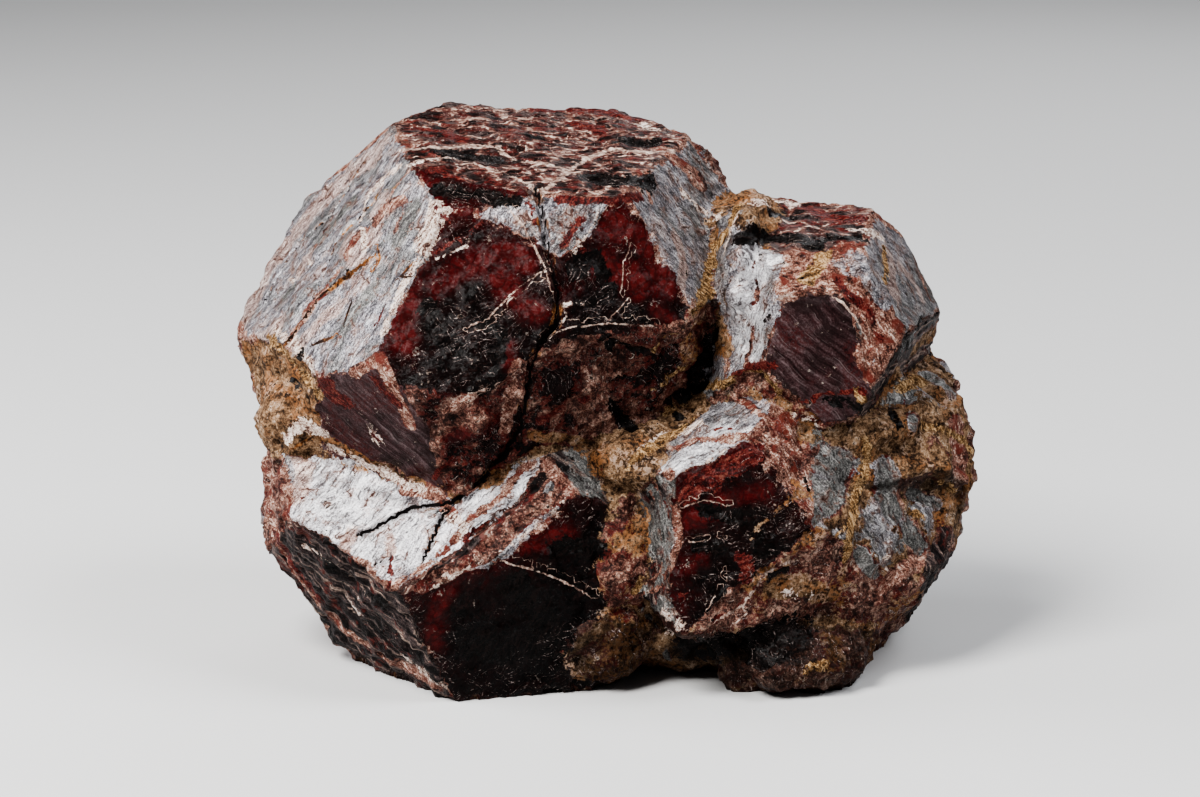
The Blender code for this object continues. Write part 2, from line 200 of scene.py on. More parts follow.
# Which coats each finish is made of. Shares below 1 come out as patches.
COATS = ("film", "glass", "dusk", "layered", "dusty", "matrix", "slate", "hackly")
FINISHES = {
    "film": {"film": 1.0},
    "pale": {"film": 0.7, "dusty": 0.5},
    "grey": {"film": 1.0, "dull": 1.0},
    "greyish": {"slate": 0.9, "film": 0.55, "dusty": 0.42, "dull": 1.0},
    "flaked": {"layered": 1.0, "film": 0.72},
    "dim": {"matrix": 1.0, "painted_shade": 0.6},
    "glass": {"glass": 1.0},
    "dusk": {"dusk": 1.0},
    "layered": {"layered": 1.0},
    "dusty": {"dusty": 1.0, "film": 0.3},
    "matrix": {"matrix": 1.0},
    "patchy": {"matrix": 1.0, "film": 0.56, "dull": 0.5},
    "crumbly": {"hackly": 1.0, "matrix": 0.42, "dusty": 0.3},
    "slate": {"slate": 1.0},
    "hackly": {"hackly": 1.0, "glass": 0.4},
    "earthy": {"hackly": 1.0, "matrix": 0.36},
    "murky": {"hackly": 1.0, "matrix": 0.36, "painted_shade": 1.0},
    "flaky": {"hackly": 1.0, "dusty": 0.52},
}
# How much worn crust the edges of a finish gather; an edge takes the product of its two sides.
RIMS = {
    "film": 0.9, "pale": 1.0, "grey": 0.6, "greyish": 0.8, "flaked": 0.9, "flaky": 0.7,
    "dim": 0.3, "murky": 0.2, "glass": 0.45,
    "dusk": 0.6, "layered": 0.7, "dusty": 1.0,
    "matrix": 0.5, "patchy": 0.6, "crumbly": 0.4, "slate": 0.6, "hackly": 0.3, "earthy": 0.3,
}

# Relief shared with the solid.
SEAM_REACH = 1.4
LUMP_SIZE = 2.6
LEDGE_SIZE = 5.0
LEDGE_LEVELS = 3
LEDGE_HEIGHT = 0.25
PIT_SPACING = 2.2
PIT_SHARE = 0.35
PIT_DEPTH = 0.35
BASE_SNAP = 0.25

# The finer relief: heights and sizes in mm.
CRACK_LIP = 0.08
CRACK_LIP_REACH = 0.3
SHARD_SIZE = 1.5
SHARD_LEAN = 0.27
STRIPE_HEIGHT = 0.03
TERRACE_HEIGHT = 0.14
GRIT_SIZE = 0.6
GRIT_HEIGHT = 0.08
CHIP_SIZE = 1.3
CHIP_DEPTH = 0.4
HALF = Vector((0.5, 0.5, 0.5))

# The fine skin.
SKIN_VOXEL = 0.21
SKIN_TRIANGLES = 192000
EDGE_WEAR = 0.10
SEAM_BLEND = 0.30
SETTLE_STEPS = 4
LONGEST_SETTLE = 0.5

# Coats spread a little past their facets: how far they wander, and over what length, in mm.
WANDER = ((0.45, 2.2), (0.22, 0.7))
# A mark of this many mm to the one wanders as far as a coat; a finer one wanders less.
LOOSENESS = 0.8
# Painted glow: directions of the light painted as red in the glass near facet edges, and how far in it reaches in mm.
PAINTED_GLOW_LIGHTS = ((-0.62, -0.25, 0.74), (0.30, 0.85, 0.43))
PAINTED_GLOW_REACH = 1.5
EDGE_REACH = 0.5
SEAM_CRUST_REACH = 0.8

# The camera, in mm and degrees, in a frame of 1200 by 797 points.
CAMERA_TARGET = (-0.35, 0.0, 18.0)
CAMERA_DISTANCE = 250.0
CAMERA_RISE = 14.0
CAMERA_LENS = 110.0
CAMERA_SENSOR = 36.0
FRAME = (1200, 797)

# Marks on the front: name, kind, half width in mm, depth in mm (negative stands proud), and a
# route of points in the frame, which is laid on the crystals along the line of sight.
MARKS = [
    # the upper left crystal
    ("main crack", "crack", 0.25, 0.75, [
        (535, 190), (542, 215), (546, 250), (560, 290), (556, 325), (540, 345), (531, 370),
        (524, 400), (518, 432), (500, 458), (474, 486), (456, 500)]),
    ("wide crack", "crack", 0.34, 0.8, [(513, 440), (498, 460), (478, 482)]),
    ("crack to the left", "crack", 0.2, 0.55, [(456, 500), (438, 506), (413, 508), (388, 520), (363, 534)]),
    ("crack downwards", "crack", 0.18, 0.55, [(452, 503), (440, 522), (432, 542), (425, 556)]),
    ("white lip", "cream", 0.08, 0, [(574, 302), (563, 322), (546, 340), (539, 356), (536, 384), (527, 410)]),
    ("crack's left side", "dusty", 0.45, 0, [(519, 362), (511, 392), (505, 430)]),
    ("left vein", "vein", 0.2, 0.4, [(366, 262), (342, 280), (318, 298), (300, 322), (286, 342)]),
    ("left vein, dark side", "dark_and_painted_shade", 0.14, 0, [(352, 270), (333, 285), (316, 298), (303, 318)]),
    ("vein above", "vein", 0.1, 0.1, [(378, 248), (380, 260), (372, 272)]),
    ("vein between", "vein", 0.1, 0.1, [(351, 303), (346, 318)]),
    ("vein below", "vein", 0.12, 0.1, [(332, 337), (316, 344)]),
    ("vein right", "vein", 0.09, 0.1, [(412, 264), (400, 277), (408, 277)]),
    ("maroon line", "red", 0.13, 0.05, [(386, 303), (379, 318), (371, 331)]),
    ("blush", "dusty", 0.5, 0, [(402, 200), (385, 207), (375, 220)]),
    ("cream ridge", "cream", 0.28, -0.05, [
        (455, 158), (425, 160), (398, 165), (384, 178), (370, 195), (360, 225), (366, 250)]),
    ("cream ridge, rusty", "ochre", 0.12, 0, [(396, 186), (380, 192), (372, 204)]),
    ("bright edge", "cream", 0.34, 0, [(448, 208), (432, 240), (416, 262), (402, 285), (392, 310), (382, 332)]),
    ("speckled shoulder", "cream", 0.8, 0, [(436, 206), (432, 226), (420, 248)]),
    ("shoulder red bits", "red", 0.14, 0, [(436, 206), (440, 214), (450, 222)]),
    ("shoulder red edge", "red", 0.2, 0, [(464, 234), (446, 246), (428, 256), (418, 262)]),
    ("brick ledge", "red", 0.2, 0, [(482, 222), (462, 236), (436, 252)]),
    ("cream ledge", "cream", 0.1, -0.05, [(468, 246), (452, 252), (434, 260)]),
    ("rusty crumbs", "ochre", 0.6, 0.1, [(268, 338), (286, 352), (300, 372), (318, 396)]),
    ("black pits", "dark_and_painted_shade", 0.35, 0.4, [(301, 342), (300, 356)]),
    ("black pit", "dark_and_painted_shade", 0.3, 0.4, [(290, 376), (300, 390)]),
    ("cream end", "cream", 0.4, 0, [(276, 330), (296, 344), (312, 372)]),
    ("red corner", "red", 0.85, 0, [(324, 384), (336, 396), (346, 402)]),
    ("red rim", "red", 0.35, 0, [(372, 377), (386, 392), (398, 404)]),
    ("lens rim", "cream", 0.42, 0, [(373, 435), (380, 442)]),
    ("lens", "red", 0.24, 0.08, [(373, 435), (380, 442)]),
    ("crust under the film", "dusty", 0.5, 0, [(352, 372), (380, 358), (392, 388), (404, 408), (408, 424)]),
    ("red tip", "red", 0.3, 0, [(434, 478), (446, 466), (456, 456)]),
    ("low edge crust", "matrix", 0.35, 0, [(330, 440), (352, 452), (390, 470), (432, 488)]),
    # painted glow: red light painted into the glass along these windows
    ("left window", "painted_glow", 1.2, 0, [(404, 300), (402, 322), (402, 342)]),
    ("top window", "painted_glow", 1.2, 0, [(436, 286), (470, 262), (502, 248), (524, 262)]),
    ("middle window", "painted_glow", 1.2, 0, [(500, 280), (520, 298), (538, 312)]),
    ("low window", "painted_glow", 0.7, 0, [(506, 345), (512, 366)]),
    ("low red", "painted_glow", 0.8, 0, [(500, 410), (478, 424), (446, 436)]),
    ("front dark", "dark_and_painted_shade", 0.8, 0.1, [(428, 308), (436, 330), (456, 352)]),
    ("front dark middle", "dark_and_painted_shade", 0.7, 0.15, [(480, 320), (500, 335), (498, 356)]),
    ("scar at the top", "scar", 0.075, -0.1, [(512, 212), (524, 228), (536, 250), (546, 272), (552, 290)]),
    ("scar branch", "scar", 0.06, -0.12, [(541, 272), (528, 280), (516, 290), (502, 304), (488, 318), (470, 326)]),
    ("scar low", "scar", 0.07, -0.15, [(527, 365), (510, 377), (496, 385), (478, 392), (462, 396), (448, 400)]),
    ("pale ledge", "dusty", 0.35, -0.1, [(482, 394), (462, 402), (446, 412)]),
    ("scar to the right", "scar", 0.065, -0.12, [
        (546, 340), (556, 333), (568, 328), (590, 326), (612, 323), (630, 325), (655, 326)]),
    ("bright rim", "cream", 0.13, -0.1, [(600, 206), (595, 222), (584, 240), (574, 254), (561, 270)]),
    ("red spindle", "red", 0.28, 0, [(582, 218), (570, 232), (563, 248)]),
    ("white knot", "cream", 0.3, -0.1, [(530, 184), (538, 196), (540, 208)]),
    ("rusty knot", "ochre", 0.12, 0, [(541, 196), (542, 206)]),
    ("red beside the crack", "red", 0.22, 0, [(522, 196), (532, 206), (536, 222)]),
    ("right window", "painted_glow", 1.6, 0, [(612, 226), (640, 236), (656, 256), (668, 284)]),
    ("right window low", "painted_glow", 1.2, 0, [(600, 262), (622, 272), (645, 288)]),
    ("right window end", "painted_glow", 0.6, 0, [(655, 312), (672, 318)]),
    ("red spot", "red", 0.28, 0, [(585, 250), (588, 262)]),
    ("right dark", "dark_and_painted_shade", 0.7, 0.1, [(572, 272), (596, 258), (610, 290), (590, 305)]),
    ("right scratch", "scar", 0.05, -0.05, [(630, 245), (624, 262), (621, 290)]),
    ("right scratch low", "scar", 0.045, -0.05, [(628, 298), (618, 310), (610, 318)]),
    ("right knots", "cream", 0.22, -0.05, [(566, 304), (580, 304), (596, 308)]),
    ("hook", "scar", 0.06, -0.12, [(603, 378), (606, 366), (614, 358), (628, 358)]),
    ("low right streak", "dusty", 0.25, 0, [(580, 360), (590, 380), (604, 402)]),
    ("low right red", "red", 0.4, 0, [(540, 420), (560, 410), (585, 400)]),
    ("low right dark", "dark_and_painted_shade", 0.6, 0.2, [(605, 338), (620, 350), (640, 352)]),
    ("ochre ribbon", "ochre", 0.3, 0, [(655, 350), (668, 338), (684, 322), (700, 306), (712, 292)]),
    ("ochre foot", "ochre", 0.3, 0, [(654, 388), (666, 380), (686, 368)]),
    ("low black", "dark_and_painted_shade", 0.5, 0.2, [(612, 402), (622, 420), (634, 432)]),
    ("top cream cross", "scar", 0.2, 0, [(496, 148), (515, 160), (545, 164), (566, 170)]),
    ("top cream cross, right", "scar", 0.24, 0, [
        (535, 196), (550, 186), (566, 174), (588, 156), (612, 150), (646, 154), (672, 150)]),
    ("top cream left", "scar", 0.17, 0, [(478, 164), (495, 170), (515, 178), (536, 186)]),
    ("top cream edge", "scar", 0.2, 0, [(402, 150), (430, 148), (470, 146), (500, 148)]),
    ("top red rim", "red", 0.9, 0, [(540, 110), (575, 108), (612, 112), (634, 118)]),
    ("top red patch", "red", 0.8, 0, [(575, 124), (600, 130)]),
    ("top red left", "red", 0.7, 0, [(418, 128), (448, 132), (462, 140)]),
    ("top red low", "red", 0.45, 0, [(430, 170), (460, 176), (500, 182)]),
    ("top red front", "red", 0.4, 0, [(560, 200), (600, 200), (640, 196)]),
    ("top cream right", "cream", 0.5, 0, [(618, 116), (640, 122), (656, 128)]),
    ("top dark left", "dark_and_painted_shade", 0.9, 0.1, [(440, 150), (470, 156), (500, 158)]),
    ("top dark middle", "dark_and_painted_shade", 1.0, 0.1, [(590, 176), (620, 182), (650, 180)]),
    ("top dark front", "dark_and_painted_shade", 0.7, 0.1, [(440, 190), (480, 194), (515, 202)]),
    ("top dark right", "dark_and_painted_shade", 0.8, 0.1, [(620, 142), (655, 142)]),
    ("tan vein behind", "cream", 0.3, -0.1, [(680, 190), (694, 204), (708, 214), (724, 222)]),
    ("behind blush", "dusty", 0.8, 0, [(664, 150), (684, 168), (700, 182)]),
    ("corner blush", "dusty", 0.5, 0, [(636, 172), (648, 186), (650, 200)]),
    ("pink far edge", "blush", 1.3, 0, [(240, 330), (256, 290), (282, 250), (312, 212), (344, 178), (380, 148)]),
    ("pink edge low", "blush", 0.9, 0, [(244, 352), (262, 338), (282, 322)]),
    ("cream patch", "blush", 1.0, 0, [(348, 246), (362, 240), (374, 232)]),
    ("cream patch low", "blush", 0.7, 0, [(352, 258), (366, 262)]),
    ("pink patch high", "blush", 0.8, 0, [(384, 196), (374, 214), (392, 206)]),
    ("pink patch middle", "blush", 0.7, 0, [(300, 274), (306, 262), (312, 256)]),
    ("yellow spots", "cream", 0.22, -0.05, [(308, 258), (312, 264)]),
    ("yellow spots low", "cream", 0.2, -0.05, [(290, 278), (294, 284)]),
    ("pink by the vein", "blush", 0.6, 0, [(296, 346), (320, 322), (344, 302)]),
    ("shaded film high", "dull", 0.9, 0, [(398, 240), (408, 222), (414, 208)]),
    ("shaded film middle", "dull", 0.8, 0, [(322, 240), (338, 222), (352, 204)]),
    ("shaded film left", "dull", 0.6, 0, [(282, 302), (292, 288)]),
    ("shaded film low", "dull", 0.7, 0, [(344, 330), (360, 306), (376, 286)]),
    ("pink on the right film", "blush", 0.6, 0, [(676, 236), (684, 262), (682, 286)]),
    # the upper right crystal
    ("left face under the seam", "film", 1.25, 0, [(748, 256), (744, 290), (740, 330), (742, 358)]),
    ("left face", "film", 1.0, 0, [(766, 262), (768, 290), (762, 330), (752, 358)]),
    # painted shade in the hollow between the upper crystals
    ("hollow", "dark_and_painted_shade", 0.9, 0.35, [(716, 330), (706, 352), (694, 376)]),
    ("hollow low", "dark_and_painted_shade", 0.6, 0.3, [(672, 402), (690, 394), (706, 386)]),
    ("seam side", "slate", 0.3, 0, [(716, 262), (712, 290), (716, 320)]),
    ("seam top", "ochre", 0.5, 0, [(740, 206), (728, 226), (716, 250), (708, 276), (700, 300)]),
    ("seam top cream", "cream", 0.3, 0, [(738, 214), (726, 236), (722, 252)]),
    ("dark top", "dark_and_painted_shade", 0.9, 0.15, [(740, 236), (765, 238), (800, 240), (812, 244)]),
    ("dark top right", "dark_and_painted_shade", 0.6, 0.1, [(828, 238), (846, 238), (862, 236)]),
    ("dark top back", "dark_and_painted_shade", 0.6, 0.1, [(770, 214), (796, 218)]),
    ("red top right", "red", 0.7, 0, [(806, 208), (832, 218), (858, 220)]),
    ("cream top back", "cream", 0.6, 0, [(745, 204), (775, 202), (796, 204)]),
    ("cream top right", "cream", 0.35, 0, [(850, 228), (872, 232), (884, 240)]),
    ("dark lines", "dark_and_painted_shade", 0.12, 0, [(758, 250), (764, 264)]),
    ("dark line low", "dark_and_painted_shade", 0.1, 0, [(770, 314), (758, 330), (742, 346)]),
    ("orange knot", "ochre", 0.6, 0, [(824, 250), (822, 266), (806, 280)]),
    ("pink shoulder", "red", 0.35, 0, [(838, 280), (848, 294), (868, 310), (882, 340)]),
    ("orange right", "ochre", 0.35, 0, [(884, 248), (886, 268), (884, 280)]),
    ("grey patch", "film", 0.95, 0, [(866, 262), (872, 284), (884, 298)]),
    ("rim arc", "scar", 0.08, -0.08, [(778, 300), (790, 292), (806, 288), (824, 292), (842, 302), (856, 318), (864, 334)]),
    ("rim arc dark", "dark_and_painted_shade", 0.1, 0.1, [(812, 283), (828, 292), (844, 300)]),
    ("front grey edge", "dull", 0.3, 0, [(856, 318), (862, 336)]),
    ("rusty front foot", "ochre", 0.35, 0, [(736, 372), (760, 374), (780, 392)]),
    ("red front foot", "red", 0.4, 0, [(734, 374), (752, 368), (774, 366)]),
    ("low red line", "red", 0.22, 0, [(800, 402), (832, 392), (868, 390)]),
    ("black low right", "dark_and_painted_shade", 0.75, 0.2, [(904, 346), (914, 336), (926, 322)]),
    # painted sheen: film painted lighter on this lit left face
    ("bright left face", "smooth_painted_sheen", 1.6, 0, [(760, 256), (752, 300), (746, 350)]),
    ("pink on the far film", "blush", 0.6, 0, [(900, 268), (914, 282), (922, 300)]),
    # the lower left crystal
    # painted sheen: the lower left crystal's lit top painted lighter
    ("bright top", "smooth_painted_sheen", 2.2, 0, [(320, 470), (370, 500), (400, 540), (450, 550), (500, 500), (530, 460)]),
    ("bright top left", "smooth_painted_sheen", 1.5, 0, [(300, 500), (340, 540), (380, 570)]),
    ("junction crust", "matrix", 0.45, 0, [(292, 420), (312, 430), (340, 446), (366, 460), (400, 478), (430, 490)]),
    ("junction cream", "cream", 0.5, 0, [(284, 440), (300, 424), (324, 432)]),
    ("tan top edge", "cream", 0.35, 0, [(330, 446), (352, 456), (378, 468), (404, 484), (426, 490)]),
    ("pink top left", "blush", 0.8, 0, [(292, 450), (304, 470), (296, 500)]),
    ("pink by the crack", "blush", 0.6, 0, [(352, 532), (344, 550), (336, 566)]),
    ("pink in the middle", "blush", 0.4, 0, [(390, 536), (392, 552)]),
    ("red thin crack", "red", 0.07, 0.05, [(297, 502), (302, 494), (310, 489), (320, 492), (334, 496), (340, 504)]),
    ("short break", "dark_and_painted_shade", 0.06, 0.1, [(408, 482), (404, 492), (398, 500)]),
    ("long break", "dark_and_painted_shade", 0.06, 0.1, [(344, 508), (338, 518), (328, 530), (322, 540)]),
    ("low break", "dark_and_painted_shade", 0.07, 0.1, [(392, 552), (380, 562), (366, 568), (352, 566)]),
    ("rusty tick", "vein", 0.12, 0.1, [(295, 447), (310, 438)]),
    ("cream stain", "dusty", 0.6, 0, [(404, 490), (436, 496), (450, 512)]),
    ("cream stain low", "cream", 0.6, 0, [(446, 514), (462, 528)]),
    ("rusty notch", "red", 0.2, 0.1, [(392, 556), (390, 574), (388, 592)]),
    ("brown line", "dark_and_painted_shade", 0.1, 0.15, [(302, 524), (322, 542), (348, 562), (372, 584)]),
    ("thin break", "red", 0.08, 0.05, [(314, 490), (300, 500)]),
    ("torn edge", "layered", 0.5, 0, [(404, 590), (438, 570), (468, 548), (500, 522), (530, 495), (548, 470)]),
    ("broken ridge", "hackly", 0.6, 0, [(420, 590), (455, 570), (490, 548), (525, 522), (560, 494)]),
    ("broken ridge, pale", "cream", 0.13, 0, [(440, 584), (480, 562), (520, 540), (556, 508), (570, 494)]),
    ("torn edge red", "red", 0.3, 0, [(466, 540), (482, 528), (500, 520)]),
    ("white tear", "cream", 0.14, -0.1, [(430, 590), (452, 576), (470, 566), (484, 560)]),
    ("second white tear", "cream", 0.1, -0.1, [(440, 580), (458, 566), (476, 552)]),
    ("split", "dark_and_painted_shade", 0.14, 0.3, [(470, 538), (488, 526), (508, 508), (536, 488)]),
    ("small splits", "dark_and_painted_shade", 0.08, 0.1, [(512, 492), (524, 480), (536, 466)]),
    ("ridge grain", "dusty", 0.5, 0, [(548, 462), (560, 478), (574, 492)]),
    ("brown break", "red", 0.1, 0.1, [(558, 470), (580, 488), (602, 500)]),
    ("brown break high", "red", 0.1, 0.1, [(585, 458), (600, 470), (618, 462)]),
    ("tan corner", "matrix", 0.4, 0, [(530, 434), (556, 438), (590, 444), (612, 450)]),
    ("rim of the break", "scar", 0.07, -0.08, [(497, 560), (516, 566), (534, 570), (552, 576), (572, 586), (590, 596)]),
    ("red under the ridge", "painted_glow", 0.8, 0, [(490, 556), (528, 546), (570, 530)]),
    ("red in the corner", "painted_glow", 0.9, 0, [(452, 582), (440, 608), (436, 640)]),
    ("black glass", "dark_and_painted_shade", 1.4, 0, [(520, 590), (556, 625)]),
    ("black glass low", "dark_and_painted_shade", 1.2, 0, [(470, 640), (510, 655), (560, 640)]),
    ("black glass high", "dark_and_painted_shade", 0.9, 0, [(560, 548), (600, 550)]),
    ("matrix foot", "matrix", 0.5, -0.1, [(566, 652), (584, 640), (606, 626)]),
    ("side stripe", "cream", 0.18, 0, [(300, 542), (324, 556), (344, 578), (356, 598)]),
    ("side stripe low", "cream", 0.25, 0, [(348, 600), (358, 612)]),
    ("side rim", "dusty", 0.5, 0, [(268, 510), (280, 546), (306, 588), (344, 626), (392, 660), (440, 684)]),
    ("side rim red", "red", 0.35, 0, [(276, 536), (294, 566), (322, 600)]),
    ("side bottom", "cream", 0.3, 0, [(402, 656), (424, 672), (444, 684)]),
    ("side black", "dark_and_painted_shade", 0.5, 0.1, [(330, 566), (360, 590), (384, 604)]),
    # on the glass the painted sheen only keeps the painted glints off
    ("still glass", "smooth_painted_sheen", 1.6, 0, [(470, 600), (520, 580), (570, 560), (620, 545)]),
    ("still glass low", "smooth_painted_sheen", 1.6, 0, [(480, 650), (530, 620), (590, 580)]),
    # the lower right crystal
    ("orange seam", "ochre", 0.45, 0, [(628, 464), (650, 448), (672, 436), (690, 420)]),
    # painted sheen on the lit cap
    ("bright cap", "smooth_painted_sheen", 1.2, 0, [(672, 470), (700, 452), (730, 430)]),
    ("orange seam cream", "cream", 0.35, 0, [(640, 452), (664, 436), (690, 430), (700, 424)]),
    ("orange seam upper", "ochre", 0.45, 0, [(664, 412), (690, 396), (716, 384), (730, 380)]),
    # painted shade in the seam hollow
    ("seam hollow", "dark_and_painted_shade", 0.3, 0.25, [(676, 416), (690, 420)]),
    ("pink line", "red", 0.1, 0.05, [(708, 432), (724, 428), (740, 430)]),
    ("bright facet edge", "cream", 0.16, 0, [(702, 464), (722, 452), (738, 436)]),
    ("brown line above", "dusty", 0.35, 0, [(735, 396), (756, 412), (772, 424)]),
    ("orange window", "red", 0.8, 0, [(690, 490), (712, 474), (742, 460), (756, 452)]),
    ("orange window low", "red", 0.5, 0, [(684, 502), (700, 486), (716, 486)]),
    ("glow under", "painted_glow", 1.0, 0, [(690, 520), (720, 500), (760, 490)]),
    ("glow low", "painted_glow", 0.8, 0, [(684, 570), (700, 560)]),
    ("pink wedge", "red", 0.5, 0, [(738, 556), (748, 566), (744, 580)]),
    ("small red", "red", 0.2, 0, [(674, 594), (686, 596)]),
    ("front dark line", "dark_and_painted_shade", 0.6, 0.15, [(702, 510), (720, 512), (740, 520)]),
    ("front dark low", "dark_and_painted_shade", 0.6, 0.15, [(700, 545), (722, 548)]),
    ("pale thread", "scar", 0.05, -0.1, [(686, 506), (702, 500), (716, 502), (730, 508)]),
    ("pale thread low", "scar", 0.05, -0.1, [(690, 542), (708, 540), (720, 538)]),
    ("pale thread down", "scar", 0.06, -0.1, [(722, 572), (718, 590), (710, 606)]),
    ("curl", "scar", 0.12, -0.2, [(722, 618), (740, 606), (754, 592), (764, 576), (778, 566), (792, 562)]),
    ("curl red", "red", 0.25, 0, [(716, 622), (734, 610), (746, 600)]),
    ("curl black", "dark_and_painted_shade", 0.35, 0.3, [(762, 590), (770, 576), (786, 570)]),
    ("lower curl", "scar", 0.08, -0.15, [(735, 600), (748, 612), (730, 626), (708, 634)]),
    ("pink crust low", "cream", 0.4, 0, [(664, 612), (672, 630), (682, 624)]),
    ("tan nest", "matrix", 1.1, -0.1, [(776, 590), (800, 584), (824, 596)]),
    ("cream nest", "cream", 0.35, -0.1, [(786, 592), (802, 598), (812, 592)]),
    ("side edge grey", "dull", 0.4, 0, [(652, 486), (664, 510), (672, 540), (662, 580), (640, 592)]),
    ("side edge crust", "dusty", 0.3, 0, [(676, 506), (680, 540), (672, 560)]),
    ("side seam ochre", "ochre", 0.3, 0, [(644, 560), (636, 590), (628, 600)]),
    ("side fold", "dull", 0.3, 0, [(644, 610), (660, 636), (668, 660)]),
    ("ochre vein right", "ochre", 0.45, 0, [(868, 440), (864, 470), (856, 500), (850, 530), (846, 560)]),
    ("ochre vein twig", "ochre", 0.25, 0, [(838, 534), (850, 520)]),
    ("grey facet", "dull", 1.2, -0.05, [(824, 462), (842, 466), (832, 506)]),
    ("grey edge dark", "dark_and_painted_shade", 0.14, 0.1, [(800, 466), (810, 490), (822, 514)]),
    ("orange knot right", "ochre", 0.4, 0, [(818, 432), (832, 428)]),
    ("cream above", "cream", 0.3, 0, [(796, 416), (812, 420), (820, 428)]),
    ("grey patch right", "dull", 1.1, 0, [(886, 470), (884, 496), (892, 514)]),
    ("tan side", "matrix", 0.9, 0, [(936, 450), (946, 480), (940, 510)]),
    ("grey patch low", "dull", 0.7, 0, [(862, 552), (874, 572)]),
    ("grey patch far", "dull", 0.9, 0, [(908, 530), (922, 548)]),
    ("grey patch top", "dull", 0.6, 0, [(910, 492), (936, 504)]),
    ("pink knot", "cream", 0.3, 0, [(886, 556), (892, 570)]),
    ("pink low side", "dusty", 0.6, 0, [(880, 590), (900, 574), (914, 566)]),
    ("orange fleck", "ochre", 0.25, 0, [(910, 512), (924, 518)]),
    ("far orange rim", "ochre", 0.3, 0, [(936, 482), (956, 492)]),
    # painted shade under the lower right crystal
    ("black under", "dark_and_painted_shade", 1.4, 0.3, [(690, 652), (730, 646), (770, 636), (800, 634)]),
    # painted shade: a dark slate coat laid on the far lower edge, which lies in shadow
    ("dark far edge", "slate", 1.2, 0, [(946, 540), (930, 580), (904, 620)]),
    ("black under low", "dark_and_painted_shade", 0.7, 0.3, [(760, 660), (800, 654)]),
    ("olive under", "ochre", 0.5, 0, [(806, 668), (824, 664)]),
    # the far right crystal
    ("small facet", "dull", 0.55, -0.2, [(906, 404), (914, 426)]),
    ("small shadow", "dark_and_painted_shade", 0.4, 0.4, [(892, 412), (900, 428), (908, 438)]),
    ("ochre hollow", "ochre", 0.6, 0, [(900, 388), (920, 380)]),
    ("lilac side", "dull", 0.9, 0, [(930, 378), (946, 392)]),
    ("brown side", "dusty", 1.2, 0, [(958, 430), (962, 470)]),
    # painted shade in the gap between crystals
    ("black gap", "dark_and_painted_shade", 0.4, 0.3, [(826, 400), (850, 404), (862, 410)]),
    ("rusty gap", "ochre", 0.35, 0, [(856, 388), (862, 402)]),
]
